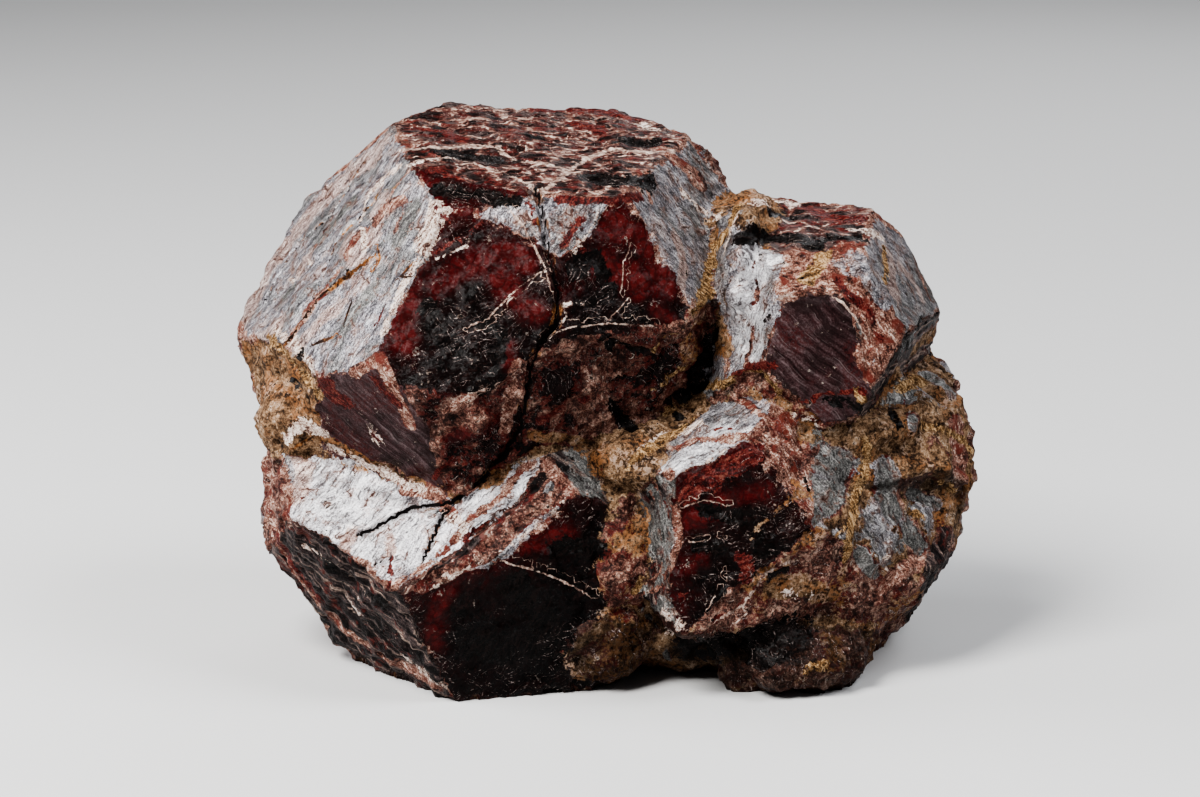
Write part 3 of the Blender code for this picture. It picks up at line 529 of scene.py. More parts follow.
# Marks on the other sides, by the bearing they are laid from; their points are mm to the right
# and mm above the base, and are laid on the crystals level.
SIDE_MARKS = {
    180: [
        ("back crack", "crack", 0.2, 0.6, [
            (5.2, 35.5), (6.2, 33.5), (5.8, 31.5), (7.2, 28.5), (6.6, 25), (5.4, 22.5), (5.8, 19)]),
        ("back crack branch", "crack", 0.14, 0.4, [(7.2, 28.5), (10, 27.6), (13.5, 28.6)]),
        ("back vein", "vein", 0.13, 0.3, [(1.5, 31.5), (3, 29), (4.4, 25.5)]),
        ("back vein low", "vein", 0.1, 0.1, [(0, 26.5), (3, 25.8), (5.5, 24.5)]),
        ("back blush", "blush", 1.2, 0, [(-1, 24), (4, 23.4), (10, 23.6)]),
        ("back blush right", "blush", 1.0, 0, [(12, 30), (14, 26)]),
        ("back layers", "layered", 1.1, 0, [(13, 31), (14.5, 28), (15.5, 25.5)]),
        ("back crust", "dusty", 0.8, 0, [(1, 33.5), (3, 34)]),
        ("back shade", "dull", 1.2, 0, [(8, 33), (12, 32.5)]),
        ("back red", "red", 0.5, 0, [(9.5, 34.6), (12, 34.2)]),
        ("back ridge", "cream", 0.3, -0.05, [(0, 20.5), (6, 20), (12, 20.5)]),
        ("back glass window", "painted_glow", 1.5, 0, [(-8, 30), (-5, 31)]),
        ("back glass scar", "scar", 0.06, -0.1, [(-7, 31), (-5, 28.5), (-4, 25)]),
        ("right back vein", "vein", 0.14, 0.3, [(-19, 13), (-17, 11.5), (-14.5, 10.5), (-12.5, 7.5)]),
        ("right back crack", "crack", 0.15, 0.4, [(-11.5, 19), (-10.8, 16), (-11.6, 13), (-10.8, 10)]),
        ("right back blush", "blush", 1.0, 0, [(-18, 17), (-20, 13)]),
        ("right back shade", "dull", 1.2, 0, [(-14, 6), (-12, 10)]),
        ("small back vein", "vein", 0.12, 0.2, [(-18, 27), (-15.5, 25.5), (-12.5, 26)]),
        ("small back layers", "layered", 0.7, 0, [(-13, 22), (-16, 21.5)]),
        ("rear window", "painted_glow", 1.5, 0, [(-5, 12), (-2, 13.5), (2, 12.5)]),
        ("rear window low", "painted_glow", 1.2, 0, [(-3, 6), (1, 4.5)]),
        ("rear scar", "scar", 0.06, -0.1, [(-5, 9), (-1, 8), (3, 9.5)]),
        ("rear small vein", "vein", 0.1, 0.1, [(7, 12), (10, 10.5), (12, 11)]),
        ("rear seam", "matrix", 0.8, 0, [(-7, 18.5), (-4, 18.8)]),
        ("rear seam low", "matrix", 0.7, 0, [(-6, 4), (-5, 8)]),
        ("rear seam rust", "ochre", 0.5, 0, [(5, 12), (5.4, 8)]),
    ],
    90: [
        ("side crack", "crack", 0.16, 0.5, [(2, 20), (3, 16), (1.5, 12), (3, 8), (2, 4)]),
        ("side film", "film", 1.3, 0, [(5, 18), (7, 15), (5.5, 12)]),
        ("side film low", "dull", 1.3, 0, [(-2, 9), (0, 6)]),
        ("side layers", "layered", 1.1, 0, [(8, 20), (9, 16)]),
        ("side pink", "blush", 1.0, 0, [(-6, 26), (-3, 28)]),
        ("side shade", "dull", 1.1, 0, [(1, 24.5), (3, 27)]),
        ("side rust", "ochre", 0.35, 0, [(-6, 17), (-3, 15), (-2, 12)]),
        ("side pit", "dark_and_painted_shade", 0.6, 0.3, [(4, 10), (6, 8)]),
        ("side seam", "matrix", 0.8, 0, [(-2, 21), (2, 21.5)]),
    ],
    -90: [
        ("end crack", "crack", 0.16, 0.5, [(-2, 33), (-1, 30), (-3, 27), (-1.5, 24)]),
        ("end vein", "vein", 0.12, 0.2, [(4, 32), (3, 29), (5, 26)]),
        ("end film", "film", 1.4, 0, [(-3, 9), (0, 8.5), (3, 6)]),
        ("end pit", "dark_and_painted_shade", 0.8, 0.3, [(-6, 6), (-3, 4)]),
        ("end layers", "layered", 1.3, 0, [(-8, 17), (-5, 19)]),
        ("end scar", "scar", 0.05, -0.1, [(-13, 27), (-11, 24)]),
        ("end rust", "ochre", 0.4, 0, [(-9, 14.5), (-4, 13.8)]),
        ("end red", "red", 0.6, 0, [(-10, 20), (-7, 18)]),
    ],
}
MIDDLE = (0.0, 3.0)
SIDE_DISTANCE = 60.0
# The kinds that stain any coat, and those that are lines of their own. The dark stain is dark glass, pits and breaks,
# and also painted shade in hollows, gaps and undersides.
STAINS = ("red", "dark_and_painted_shade", "cream", "ochre")
LINES = ("crack", "vein", "scar")
SIDES = tuple(line + "_side" for line in LINES)
# Moods of a coat: painted red light in the glass, smooth film with painted sheen, dull or pink film, and low ground
# darkened as painted shade.
MOODS = ("painted_glow", "smooth_painted_sheen", "dull", "blush", "painted_shade")
# Lines are kept as the distance to the left or right of them, out to this many half widths.
FARTHEST_SIDE = 8.0
LINE_REACH = 0.9
# How far apart the points of a route are laid, in points of the frame and in mm.
FRAME_STEP = 6.0
SIDE_STEP = 0.4
MARK_FADE = 1.35
LONGEST_PIECE = 2.5
# What each colour attribute of the skin carries in its four channels.
ATTRIBUTES = {
    "coats_smooth": ("film", "glass", "dusk", "layered"),
    "coats_rough": ("dusty", "matrix", "slate", "hackly"),
    "stains": STAINS,
    "lines": (*LINES, "painted_shade"),
    "line_sides": (*SIDES, "crust"),
    "moods": ("painted_glow", "smooth_painted_sheen", "dull", "blush"),
}


# ---------------------------------------------------------------- shape of the crystals

def facet_normals(facets):
    turn = np.radians([facet[1] for facet in facets])
    rise = np.radians([facet[2] for facet in facets])
    flat = np.cos(rise)
    return np.stack([np.sin(turn) * flat, -np.cos(turn) * flat, np.sin(rise)], axis=1)


def crystal_heights(points, centre, facets):
    """Height of each point over each facet's plane; all below 0 is inside."""
    distances = np.array([facet[3] for facet in facets])
    return (points - np.array(centre)) @ facet_normals(facets).T - distances


def worn_surface(points):
    """Signed distance to the worn cluster, and the direction in which it grows."""
    gaps = []
    slopes = []
    for centre, facets in CRYSTALS.values():
        heights = crystal_heights(points, centre, facets)
        top = heights.max(axis=1, keepdims=True)
        weights = np.exp((heights - top) / EDGE_WEAR)
        total = weights.sum(axis=1, keepdims=True)
        gaps.append((top + EDGE_WEAR * np.log(total))[:, 0])
        slopes.append((weights / total) @ facet_normals(facets))
    for _, centre, radii, _ in MATRIX:
        away = (points - np.array(centre)) / np.array(radii)
        reach = np.linalg.norm(away, axis=1) + 1e-9
        slope = away / np.array(radii) / reach[:, None]
        steepness = np.linalg.norm(slope, axis=1) + 1e-9
        gaps.append((reach - 1) / steepness)
        slopes.append(slope / steepness[:, None])
    gaps = np.array(gaps)
    slopes = np.array(slopes)
    nearest = gaps.min(axis=0)
    weights = np.exp(-(gaps - nearest) / SEAM_BLEND)
    total = weights.sum(axis=0)
    slope = (weights[:, :, None] * slopes).sum(axis=0) / total[:, None]
    return nearest - SEAM_BLEND * np.log(total), slope


def settle(points):
    """Move points onto the worn surface; return them with their outward directions."""
    for _ in range(SETTLE_STEPS):
        gap, slope = worn_surface(points)
        steep = (slope * slope).sum(axis=1) + 1e-6
        step = np.clip(gap / steep, -LONGEST_SETTLE, LONGEST_SETTLE)
        points = points - step[:, None] * slope
    _, slope = worn_surface(points)
    return points, slope / np.linalg.norm(slope, axis=1, keepdims=True)


def facet_report(points, number, centre, facets):
    """For each point, what the facet over it is like."""
    count = len(points)
    column = np.arange(count)
    heights = crystal_heights(points, centre, facets)
    normals = facet_normals(facets)
    facet = heights.argmax(axis=1)
    across = np.sqrt(np.clip(1 - (normals @ normals.T) ** 2, 1e-4, 1))
    to_edge = (heights[column, facet][:, None] - heights) / across[facet]
    to_edge[column, facet] = np.inf
    facing = np.clip(normals @ np.array(PAINTED_GLOW_LIGHTS).T, 0, 1).max(axis=1)
    rims = np.array([RIMS[item[5]] for item in facets])
    grain = np.radians([item[6] for item in facets])[facet]
    turn = np.radians([item[1] for item in facets])[facet]
    rise = np.radians([item[2] for item in facets])[facet]
    level = np.stack([np.cos(turn), np.sin(turn), 0 * turn], axis=1)
    upward = np.stack([-np.sin(turn) * np.sin(rise), np.cos(turn) * np.sin(rise), np.cos(rise)], axis=1)
    offset = points - np.array(centre)
    right = (offset * level).sum(axis=1)
    up = (offset * upward).sum(axis=1)
    along = right * np.cos(grain) + up * np.sin(grain)
    side = up * np.cos(grain) - right * np.sin(grain)
    return heights[column, facet], {
        "roughness": np.array([item[4] for item in facets])[facet],
        "finish": np.array([item[5] for item in facets])[facet],
        "edge": to_edge.min(axis=1),
        "rim": rims[facet] * rims[to_edge.argmin(axis=1)],
        # painted glow: red light painted in from the edges of facets that face the glow lights
        "painted_glow": (np.exp(-to_edge / PAINTED_GLOW_REACH) * facing[None, :]).max(axis=1),
        "grain": np.stack([along, side, facet * 7.3 + number * 31.7], axis=1),
    }


def matrix_report(points, centre, radii, finish):
    count = len(points)
    reach = np.linalg.norm((points - np.array(centre)) / np.array(radii), axis=1) - 1
    return reach * min(radii), {
        "roughness": np.full(count, CRUST),
        "finish": np.full(count, finish),
        "edge": np.full(count, 9.0),
        "rim": np.zeros(count),
        "painted_glow": np.zeros(count),
        "grain": points.copy(),
    }


def survey(points):
    """What lies at each point: facet, neighbours, seam, grain and painted glow from the edges."""
    column = np.arange(len(points))
    reports = [facet_report(points, number, *crystal) for number, crystal in enumerate(CRYSTALS.values())]
    reports += [matrix_report(points, *lump) for _, *lump in MATRIX]
    gaps = np.array([gap for gap, _ in reports])
    order = gaps.argsort(axis=0)
    result = {"second": gaps[order[1], column]}
    for key in reports[0][1]:
        stack = np.array([report[key] for _, report in reports])
        result[key] = stack[order[0], column]
    return result


# ---------------------------------------------------------------- marks laid along the line of sight

def viewing_axes(bearing, tilt):
    """Right, up and backward for a viewer at a bearing, who looks down by the tilt in degrees."""
    turn = math.radians(bearing)
    rise = math.radians(tilt)
    right = np.array([math.cos(turn), math.sin(turn), 0])
    back = np.array([math.sin(turn) * math.cos(rise), -math.cos(turn) * math.cos(rise), math.sin(rise)])
    return right, np.cross(back, right), back


def crystal_entry(eye, sight, centre, facets):
    """How far along the line of sight the crystal starts, or infinity."""
    normals = facet_normals(facets)
    facing = normals @ sight
    along = -crystal_heights(eye[None, :], centre, facets)[0] / np.where(abs(facing) < 1e-9, 1e-9, facing)
    enter = along[facing < -1e-9].max()
    leave = along[facing >= -1e-9].min()
    return enter if enter < leave else math.inf


def lump_entry(eye, sight, centre, radii):
    start = (eye - np.array(centre)) / np.array(radii)
    ahead = sight / np.array(radii)
    half = start @ ahead
    inside = half * half - (ahead @ ahead) * (start @ start - 1)
    return (-half - math.sqrt(inside)) / (ahead @ ahead) if inside > 0 else math.inf


def first_meeting(eye, sight):
    """Where a line of sight meets the cluster, or None."""
    entries = [crystal_entry(eye, sight, *crystal) for crystal in CRYSTALS.values()]
    entries += [lump_entry(eye, sight, centre, radii) for _, centre, radii, _ in MATRIX]
    nearest = min(entries)
    return None if nearest == math.inf else eye + nearest * sight


def lay_from_camera(spot):
    """A point of the frame laid on the cluster along the camera's line of sight."""
    right, up, back = viewing_axes(0, CAMERA_RISE)
    eye = np.array(CAMERA_TARGET) + CAMERA_DISTANCE * back
    spread = CAMERA_LENS / CAMERA_SENSOR * FRAME[0]
    sight = right * (spot[0] - FRAME[0] / 2) / spread - up * (spot[1] - FRAME[1] / 2) / spread - back
    return first_meeting(eye, sight / np.linalg.norm(sight))


def lay_from_side(spot, bearing):
    """A point in mm to the right and up, laid level on the cluster from a bearing."""
    right, up, back = viewing_axes(bearing, 0)
    return first_meeting(np.array([*MIDDLE, 0]) + right * spot[0] + up * spot[1] + SIDE_DISTANCE * back, -back)


def lay_route(spots, lay, widest_step):
    """A mark's route on the cluster, as short straight pieces in mm."""
    line = []
    for start, end in zip(spots[:-1], spots[1:]):
        start = np.array(start, float)
        leap = np.array(end, float) - start
        steps = max(1, round(np.linalg.norm(leap) / widest_step))
        line += [lay(start + leap * step / steps) for step in range(steps)]
    line.append(lay(spots[-1]))
    pieces = [(a, b) for a, b in zip(line[:-1], line[1:]) if a is not None and b is not None]
    return [(a, b) for a, b in pieces if np.linalg.norm(b - a) < LONGEST_PIECE]


def lay_marks():
    """Every mark as (kind, half width, depth, pieces of its route, direction of its viewer)."""
    laid = []
    viewer = viewing_axes(0, CAMERA_RISE)[2]
    for _, kind, half_width, depth, spots in MARKS:
        laid.append((kind, half_width, depth, lay_route(spots, lay_from_camera, FRAME_STEP), viewer))
    for bearing, marks in SIDE_MARKS.items():
        viewer = viewing_axes(bearing, 0)[2]
        for _, kind, half_width, depth, spots in marks:
            route = lay_route(spots, lambda spot: lay_from_side(spot, bearing), SIDE_STEP)
            laid.append((kind, half_width, depth, route, viewer))
    return laid


def distance_to_route(points, pieces, viewer, reach):
    """Distance to a route, infinity far from it, and 1 or -1 for the side it lies on."""
    best = np.full(len(points), np.inf)
    side = np.ones(len(points))
    ends = np.array(pieces).reshape(-1, 3)
    near = np.flatnonzero(np.all((points > ends.min(axis=0) - reach) & (points < ends.max(axis=0) + reach), axis=1))
    close = points[near]
    for start, end in pieces:
        along = end - start
        share = np.clip((close - start) @ along / (along @ along), 0, 1)
        offset = close - start - share[:, None] * along
        gap = np.linalg.norm(offset, axis=1)
        nearer = gap < best[near]
        best[near[nearer]] = gap[nearer]
        side[near[nearer]] = np.where(offset[nearer] @ np.cross(along, viewer) > 0, 1, -1)
    return best, side


# ---------------------------------------------------------------- relief

def lumpy(points, scale, seed, octaves=3):
    """Smooth noise from about -1 to 1, with lumps of the given size in mm."""
    shift = Vector((seed * 17.3, seed * 5.1, -seed * 9.7))
    values = [noise.fractal(Vector(point) / scale + shift, 0.9, 2.1, octaves) for point in points]
    return np.array(values)


def cell_pits(points, spacing, seed):
    """1 at the middle of scattered pits and 0 away from them."""
    shift = Vector((seed * 3.7, -seed * 8.9, seed * 4.3))
    nearest = [noise.voronoi(Vector(point) / spacing + shift)[0][0] for point in points]
    return np.clip(1 - np.array(nearest) / PIT_SHARE, 0, 1)


def shared_relief(points, place):
    """The larger relief, which the solid has as well."""
    seam = np.clip(1 - place["second"] / SEAM_REACH, 0, 1)
    roughness = place["roughness"] + (CRUST - place["roughness"]) * seam ** 2
    height = roughness * (lumpy(points, LUMP_SIZE, 1) + 0.5 * lumpy(points, LUMP_SIZE / 2.6, 2))
    steps = lumpy(points, LEDGE_SIZE, 3) * LEDGE_LEVELS
    height += np.round(steps) / LEDGE_LEVELS * LEDGE_HEIGHT * (roughness > CLEAN)
    height -= PIT_DEPTH * cell_pits(points, PIT_SPACING, 4) * (roughness > WORN)
    return height


def streaks(grain, stretch, fineness, seed):
    """Noise drawn out along the grain; stretch and fineness are in mm."""
    scale = np.array([1 / stretch, 1 / fineness, 1.0])
    shift = Vector((seed * 11.3, seed * 7.7, 0))
    return np.array([noise.fractal(Vector(item) + shift, 0.9, 2.0, 3) for item in grain * scale])


def shards(points, size, seed):
    """Broken glassy ground: each cell is a little plane with a lean of its own."""
    shift = Vector((seed * 5.9, seed * 2.3, seed * 8.1))
    heights = np.empty(len(points))
    for index, point in enumerate(points):
        spot = Vector(point) / size + shift
        middle = noise.voronoi(spot)[1][0]
        heights[index] = (spot - middle).dot(noise.cell_vector(middle * 37.0) - HALF)
    return heights * size


def wander(points):
    """The points moved about a little, so that coats and lines get ragged borders."""
    moved = points.copy()
    for amount, size in WANDER:
        moved += amount * np.array([noise.noise_vector(Vector(point) / size) for point in points])
    return moved


def loosened(points, ragged, half_width):
    """Points part of the way to their wandered places: the finer the mark, the less."""
    return points + (ragged - points) * min(1.0, half_width * LOOSENESS)


def coats_at(place, points, ragged, marks):
    """How much of each coat, stain and line a point has."""
    shares = {kind: np.zeros(len(points)) for kind in (*COATS, *STAINS, *LINES, *MOODS)}
    shares["painted_glow"] = place["painted_glow"].copy()
    shares["crust"] = np.ones(len(points))
    for side in SIDES:
        shares[side] = np.full(len(points), FARTHEST_SIDE)
    for finish, mix in FINISHES.items():
        chosen = place["finish"] == finish
        for coat, share in mix.items():
            shares[coat][chosen] = share
    for kind, half_width, _, pieces, viewer in marks:
        reach = max(LINE_REACH, half_width * MARK_FADE) if kind in LINES else half_width * MARK_FADE
        gap, side = distance_to_route(loosened(points, ragged, half_width), pieces, viewer, reach)
        cover = np.clip((reach - gap) / (0.5 * reach if kind in LINES else half_width), 0, 1)
        if kind in LINES:
            signed = side * np.minimum(gap / half_width, FARTHEST_SIDE)
            known = shares[kind + "_side"]
            shares[kind + "_side"] = np.where(abs(signed) < abs(known), signed, known)
        coat = "film" if kind == "dull" else kind
        if coat in COATS:
            for other in (*COATS, "crust", "dull"):
                shares[other] *= 1 - cover
            shares[coat] = np.maximum(shares[coat], cover)
        shares[kind] = np.maximum(shares[kind], cover)
    return shares


def mark_relief(points, ragged, marks):
    """Cracks and veins cut into the skin; scars and crusts stand proud of it."""
    height = np.zeros(len(points))
    for kind, half_width, depth, pieces, viewer in marks:
        if not depth:
            continue
        reach = half_width + 3 * CRACK_LIP_REACH
        gap, _ = distance_to_route(loosened(points, ragged, half_width), pieces, viewer, reach)
        height -= depth * np.clip(1.15 - gap / half_width, 0, 1)
        if kind == "crack":
            height += CRACK_LIP * np.exp(-((gap - half_width) / CRACK_LIP_REACH) ** 2)
    return height


def fine_relief(points, place, coats):
    """The relief that is too fine for the solid, each coat with its own."""
    grain = place["grain"]
    broken = np.maximum.reduce([coats["glass"], coats["hackly"], 0.5 * coats["slate"]])
    striped = np.maximum.reduce([coats["film"], coats["dusk"]])
    height = SHARD_LEAN * shards(points, SHARD_SIZE, 5) * broken
    height += SHARD_LEAN * shards(points, SHARD_SIZE * 1.8, 11) * coats["hackly"]
    height += SHARD_LEAN * shards(points, SHARD_SIZE / 2.5, 6) * np.maximum(broken, 0.5 * coats["matrix"])
    height += STRIPE_HEIGHT * streaks(grain, 1.5, 0.4, 7) * striped
    for coat, length in (("layered", 3.2), ("slate", 7.0)):
        terrace = streaks(grain, length, 0.7, 8)
        height += TERRACE_HEIGHT * np.round(terrace * 2.5) / 2.5 * coats[coat]
    rough = np.maximum.reduce([coats["dusty"], coats["matrix"], 0.6 * coats["hackly"], coats["cream"], coats["ochre"]])
    height += GRIT_HEIGHT * lumpy(points, GRIT_SIZE, 9, 4) * (0.2 + rough)
    chips = np.clip(lumpy(points, CHIP_SIZE, 10, 2), 0, 1)
    height -= CHIP_DEPTH * chips * np.exp(-place["edge"] / EDGE_REACH)
    return height


# ---------------------------------------------------------------- the skin

def node_copy(node, name):
    """A new object with the node's mesh, its doubled corners merged."""
    bm = bmesh.new()
    bm.from_mesh(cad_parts[node].data)
    bmesh.ops.remove_doubles(bm, verts=bm.verts, dist=1e-6)
    mesh = bpy.data.meshes.new(name)
    bm.to_mesh(mesh)
    bm.free()
    obj = bpy.data.objects.new(name, mesh)
    bpy.context.scene.collection.objects.link(obj)
    return obj


def apply_modifiers(obj):
    graph = bpy.context.evaluated_depsgraph_get()
    mesh = bpy.data.meshes.new_from_object(obj.evaluated_get(graph))
    obj.modifiers.clear()
    obj.data = mesh


def read_points(obj):
    """Vertices in mm, in the crystals' own place."""
    points = np.empty(len(obj.data.vertices) * 3)
    obj.data.vertices.foreach_get("co", points)
    return points.reshape(-1, 3) / MM - BASE_SHIFT


def write_points(obj, points):
    obj.data.vertices.foreach_set("co", ((points + BASE_SHIFT) * MM).ravel())
    obj.data.update()


def write_attribute(obj, name, kind, values):
    layer = obj.data.attributes.new(name, kind, "POINT")
    key = {"FLOAT": "value", "FLOAT_VECTOR": "vector", "FLOAT_COLOR": "color"}[kind]
    layer.data.foreach_set(key, np.ascontiguousarray(values, dtype=np.float32).ravel())


def grow_skin(marks):
    """The fine mesh that stands for the solid."""
    skin = node_copy("garnet_cluster", "garnet_skin")
    remesh = skin.modifiers.new("fine", "REMESH")
    remesh.mode = "VOXEL"
    remesh.voxel_size = SKIN_VOXEL * MM
    apply_modifiers(skin)
    points = read_points(skin)
    resting = points[:, 2] < BASE_SNAP / 2
    points, outward = settle(points)
    place = survey(points)
    ragged = wander(points)
    height = shared_relief(points, place) + mark_relief(points, ragged, marks)
    height += fine_relief(points, place, coats_at(survey(ragged), points, ragged, marks))
    points = points + outward * height[:, None]
    points[resting | (points[:, 2] < BASE_SNAP), 2] = 0.0
    write_points(skin, points)
    skin.data.calc_loop_triangles()
    thin = skin.modifiers.new("thin", "DECIMATE")
    thin.ratio = SKIN_TRIANGLES / len(skin.data.loop_triangles)
    apply_modifiers(skin)
    skin.data.shade_smooth()
    paint(skin, marks)
    return skin


def paint(obj, marks):
    """Store what each point is made of, with its painted light and shade, for the material."""
    points = read_points(obj)
    ragged = wander(points)
    place = survey(ragged)
    shares = coats_at(place, points, ragged, marks)
    for name, kinds in ATTRIBUTES.items():
        write_attribute(obj, name, "FLOAT_COLOR", np.stack([shares[kind] for kind in kinds], axis=1))
    seam = np.clip(1 - place["second"] / SEAM_CRUST_REACH, 0, 1)
    edge = np.exp(-(place["edge"] / EDGE_REACH) ** 2) * place["rim"]
    write_attribute(obj, "seam", "FLOAT", seam)
    write_attribute(obj, "edge", "FLOAT", edge)
    write_attribute(obj, "grain", "FLOAT_VECTOR", place["grain"])


# ---------------------------------------------------------------- materials

class Graph:
    """Short hand for building a material's nodes."""

    def __init__(self, material):
        material.use_nodes = True
        self.nodes = material.node_tree.nodes
        self.links = material.node_tree.links
        self.shader = self.nodes["Principled BSDF"]

    def put(self, socket, value):
        if isinstance(value, bpy.types.NodeSocket):
            self.links.new(value, socket)
        elif value is not None:
            socket.default_value = value

    def math(self, operation, first, second=None, third=None):
        node = self.nodes.new("ShaderNodeMath")
        node.operation = operation
        for socket, value in zip(node.inputs, (first, second, third)):
            self.put(socket, value)
        return node.outputs[0]

    def attribute(self, name, output="Fac"):
        node = self.nodes.new("ShaderNodeAttribute")
        node.attribute_name = name
        return node.outputs[output]

    def channels(self, name):
        """The four values of a colour attribute."""
        node = self.nodes.new("ShaderNodeAttribute")
        node.attribute_name = name
        split = self.nodes.new("ShaderNodeSeparateColor")
        self.links.new(node.outputs["Color"], split.inputs[0])
        return [*split.outputs, node.outputs["Alpha"]]

    def place_mm(self):
        coordinates = self.nodes.new("ShaderNodeTexCoord")
        return self.vector("MULTIPLY", coordinates.outputs["Object"], (1 / MM,) * 3)

    def vector(self, operation, first, second, output=0):
        node = self.nodes.new("ShaderNodeVectorMath")
        node.operation = operation
        self.put(node.inputs[0], first)
        self.put(node.inputs[1], second)
        return node.outputs[output]

    def noise(self, vector, size, detail=3.0, roughness=0.55, distortion=0.0):
        """Cloudy noise from 0 to 1, with spots of about the given size in mm."""
        node = self.nodes.new("ShaderNodeTexNoise")
        self.put(node.inputs["Vector"], vector)
        node.inputs["Scale"].default_value = 1 / size
        node.inputs["Detail"].default_value = detail
        node.inputs["Roughness"].default_value = roughness
        node.inputs["Distortion"].default_value = distortion
        return node.outputs["Fac"]

    def drawn(self, grain, along, side, detail=4.0, roughness=0.6, distortion=0.0):
        """Noise drawn out along the grain, with spots of about along by side mm."""
        return self.noise(self.vector("MULTIPLY", grain, (1 / along, 1 / side, 1.0)), 1.0, detail, roughness, distortion)

    def turned(self, grain, degrees):
        """The grain's places turned about the surface's own normal."""
        node = self.nodes.new("ShaderNodeMapping")
        self.put(node.inputs["Vector"], grain)
        node.inputs["Rotation"].default_value = (0, 0, math.radians(degrees))
        return node.outputs[0]

    def splinters(self, vector, size):
        """Cells that lean their own ways: a height in mm, and a grey for each cell."""
        node = self.nodes.new("ShaderNodeTexVoronoi")
        self.put(node.inputs["Vector"], vector)
        node.inputs["Scale"].default_value = 1 / size
        lean = self.vector("SUBTRACT", node.outputs["Color"], (0.5, 0.5, 0.5))
        offset = self.vector("SUBTRACT", vector, node.outputs["Position"])
        split = self.nodes.new("ShaderNodeSeparateColor")
        self.links.new(node.outputs["Color"], split.inputs[0])
        return self.vector("DOT_PRODUCT", offset, lean, 1), split.outputs[0]

    def ramp(self, factor, stops):
        """Colours at places along a factor."""
        node = self.nodes.new("ShaderNodeValToRGB")
        self.put(node.inputs[0], factor)
        elements = node.color_ramp.elements
        while len(elements) < len(stops):
            elements.new(0.5)
        for element, (place, colour) in zip(elements, stops):
            element.position = place
            element.color = (*colour, 1.0)
        return node.outputs["Color"]

    def step(self, value, low, high, top=1.0):
        """0 at low, top at high, smooth between; low may be above high."""
        node = self.nodes.new("ShaderNodeMapRange")
        node.interpolation_type = "SMOOTHSTEP"
        self.put(node.inputs["Value"], value)
        self.put(node.inputs["From Min"], low)
        self.put(node.inputs["From Max"], high)
        self.put(node.inputs["To Max"], top)
        return node.outputs["Result"]

    def threads(self, value, width, top=1.0):
        """Thin lines where a noise passes through its middle."""
        off = self.math("ABSOLUTE", self.math("SUBTRACT", value, 0.5))
        return self.step(off, width, width * 0.3, top)

    def warped(self, vector, size, amount):
        """Places pushed about by a noise, so that straight lines between cells turn ragged."""
        node = self.nodes.new("ShaderNodeTexNoise")
        self.put(node.inputs["Vector"], vector)
        node.inputs["Scale"].default_value = 1 / size
        node.inputs["Detail"].default_value = 2.0
        push = self.vector("SUBTRACT", node.outputs["Color"], (0.5, 0.5, 0.5))
        return self.vector("ADD", vector, self.vector("MULTIPLY", push, (amount,) * 3))

    def crazing(self, vector, size):
        """How far the nearest border between cells is, in cells."""
        node = self.nodes.new("ShaderNodeTexVoronoi")
        node.feature = "DISTANCE_TO_EDGE"
        self.put(node.inputs["Vector"], vector)
        node.inputs["Scale"].default_value = 1 / size
        return node.outputs["Distance"]

    def both(self, first, second):
        return self.math("MULTIPLY", first, second)

    def blend(self, factor, under, over):
        node = self.nodes.new("ShaderNodeMix")
        node.data_type = "RGBA"
        self.put(node.inputs[0], factor)
        for socket, value in ((node.inputs[6], under), (node.inputs[7], over)):
            self.put(socket, (*value, 1.0) if isinstance(value, tuple) else value)
        return node.outputs[2]

    def between(self, factor, under, over):
        node = self.nodes.new("ShaderNodeMix")
        node.data_type = "FLOAT"
        self.put(node.inputs[0], factor)
        self.put(node.inputs[2], under)
        self.put(node.inputs[3], over)
        return node.outputs[0]


class Patterns:
    """The noises that all the coats share."""

    def __init__(self, g):
        place = g.place_mm()
        grain = g.attribute("grain", "Vector")
        self.broad = g.noise(place, 3.4, 4)
        self.medium = g.noise(place, 1.0, 5, 0.62)
        self.fine = g.noise(place, 0.26, 4, 0.66)
        self.grit = g.noise(place, 0.12, 2, 0.75)
        self.streak = g.drawn(grain, 1.9, 0.55, 5, 0.66, 0.3)
        self.hair = g.drawn(grain, 0.75, 0.15, 4, 0.66)
        self.fleck = g.drawn(grain, 0.7, 0.2, 3, 0.6)
        self.scratch = g.drawn(grain, 2.4, 0.13, 3, 0.6)
        self.layer = g.drawn(grain, 2.2, 0.42, 5, 0.64, 0.5)
        self.bands = g.drawn(grain, 7.0, 0.36, 5, 0.62, 0.1)
        self.stripe = g.drawn(grain, 5.0, 0.26, 4, 0.6)
        self.web = g.noise(place, 1.5, 3, 0.5, 0.8)
        self.swirl = g.noise(place, 0.7, 3, 0.55, 1.6)
        self.lean, self.chip = g.splinters(place, 0.55)
        self.small_lean, self.small_chip = g.splinters(place, 0.2)
        self.plates = g.crazing(g.vector("MULTIPLY", g.warped(grain, 0.8, 1.1), (1 / 2.3, 1 / 1.1, 1.0)), 1.0)
        self.scratches = [g.drawn(g.turned(grain, turn), 0.9, 0.07, 1, 0.5) for turn in (4, 34, 96)]
        long_cells = g.vector("MULTIPLY", g.warped(grain, 1.6, 2.0), (1 / 3.4, 1 / 2.0, 1.0))
        self.lens = g.crazing(long_cells, 1.0)
        self.shell = g.crazing(g.warped(place, 1.4, 2.2), 1.0)


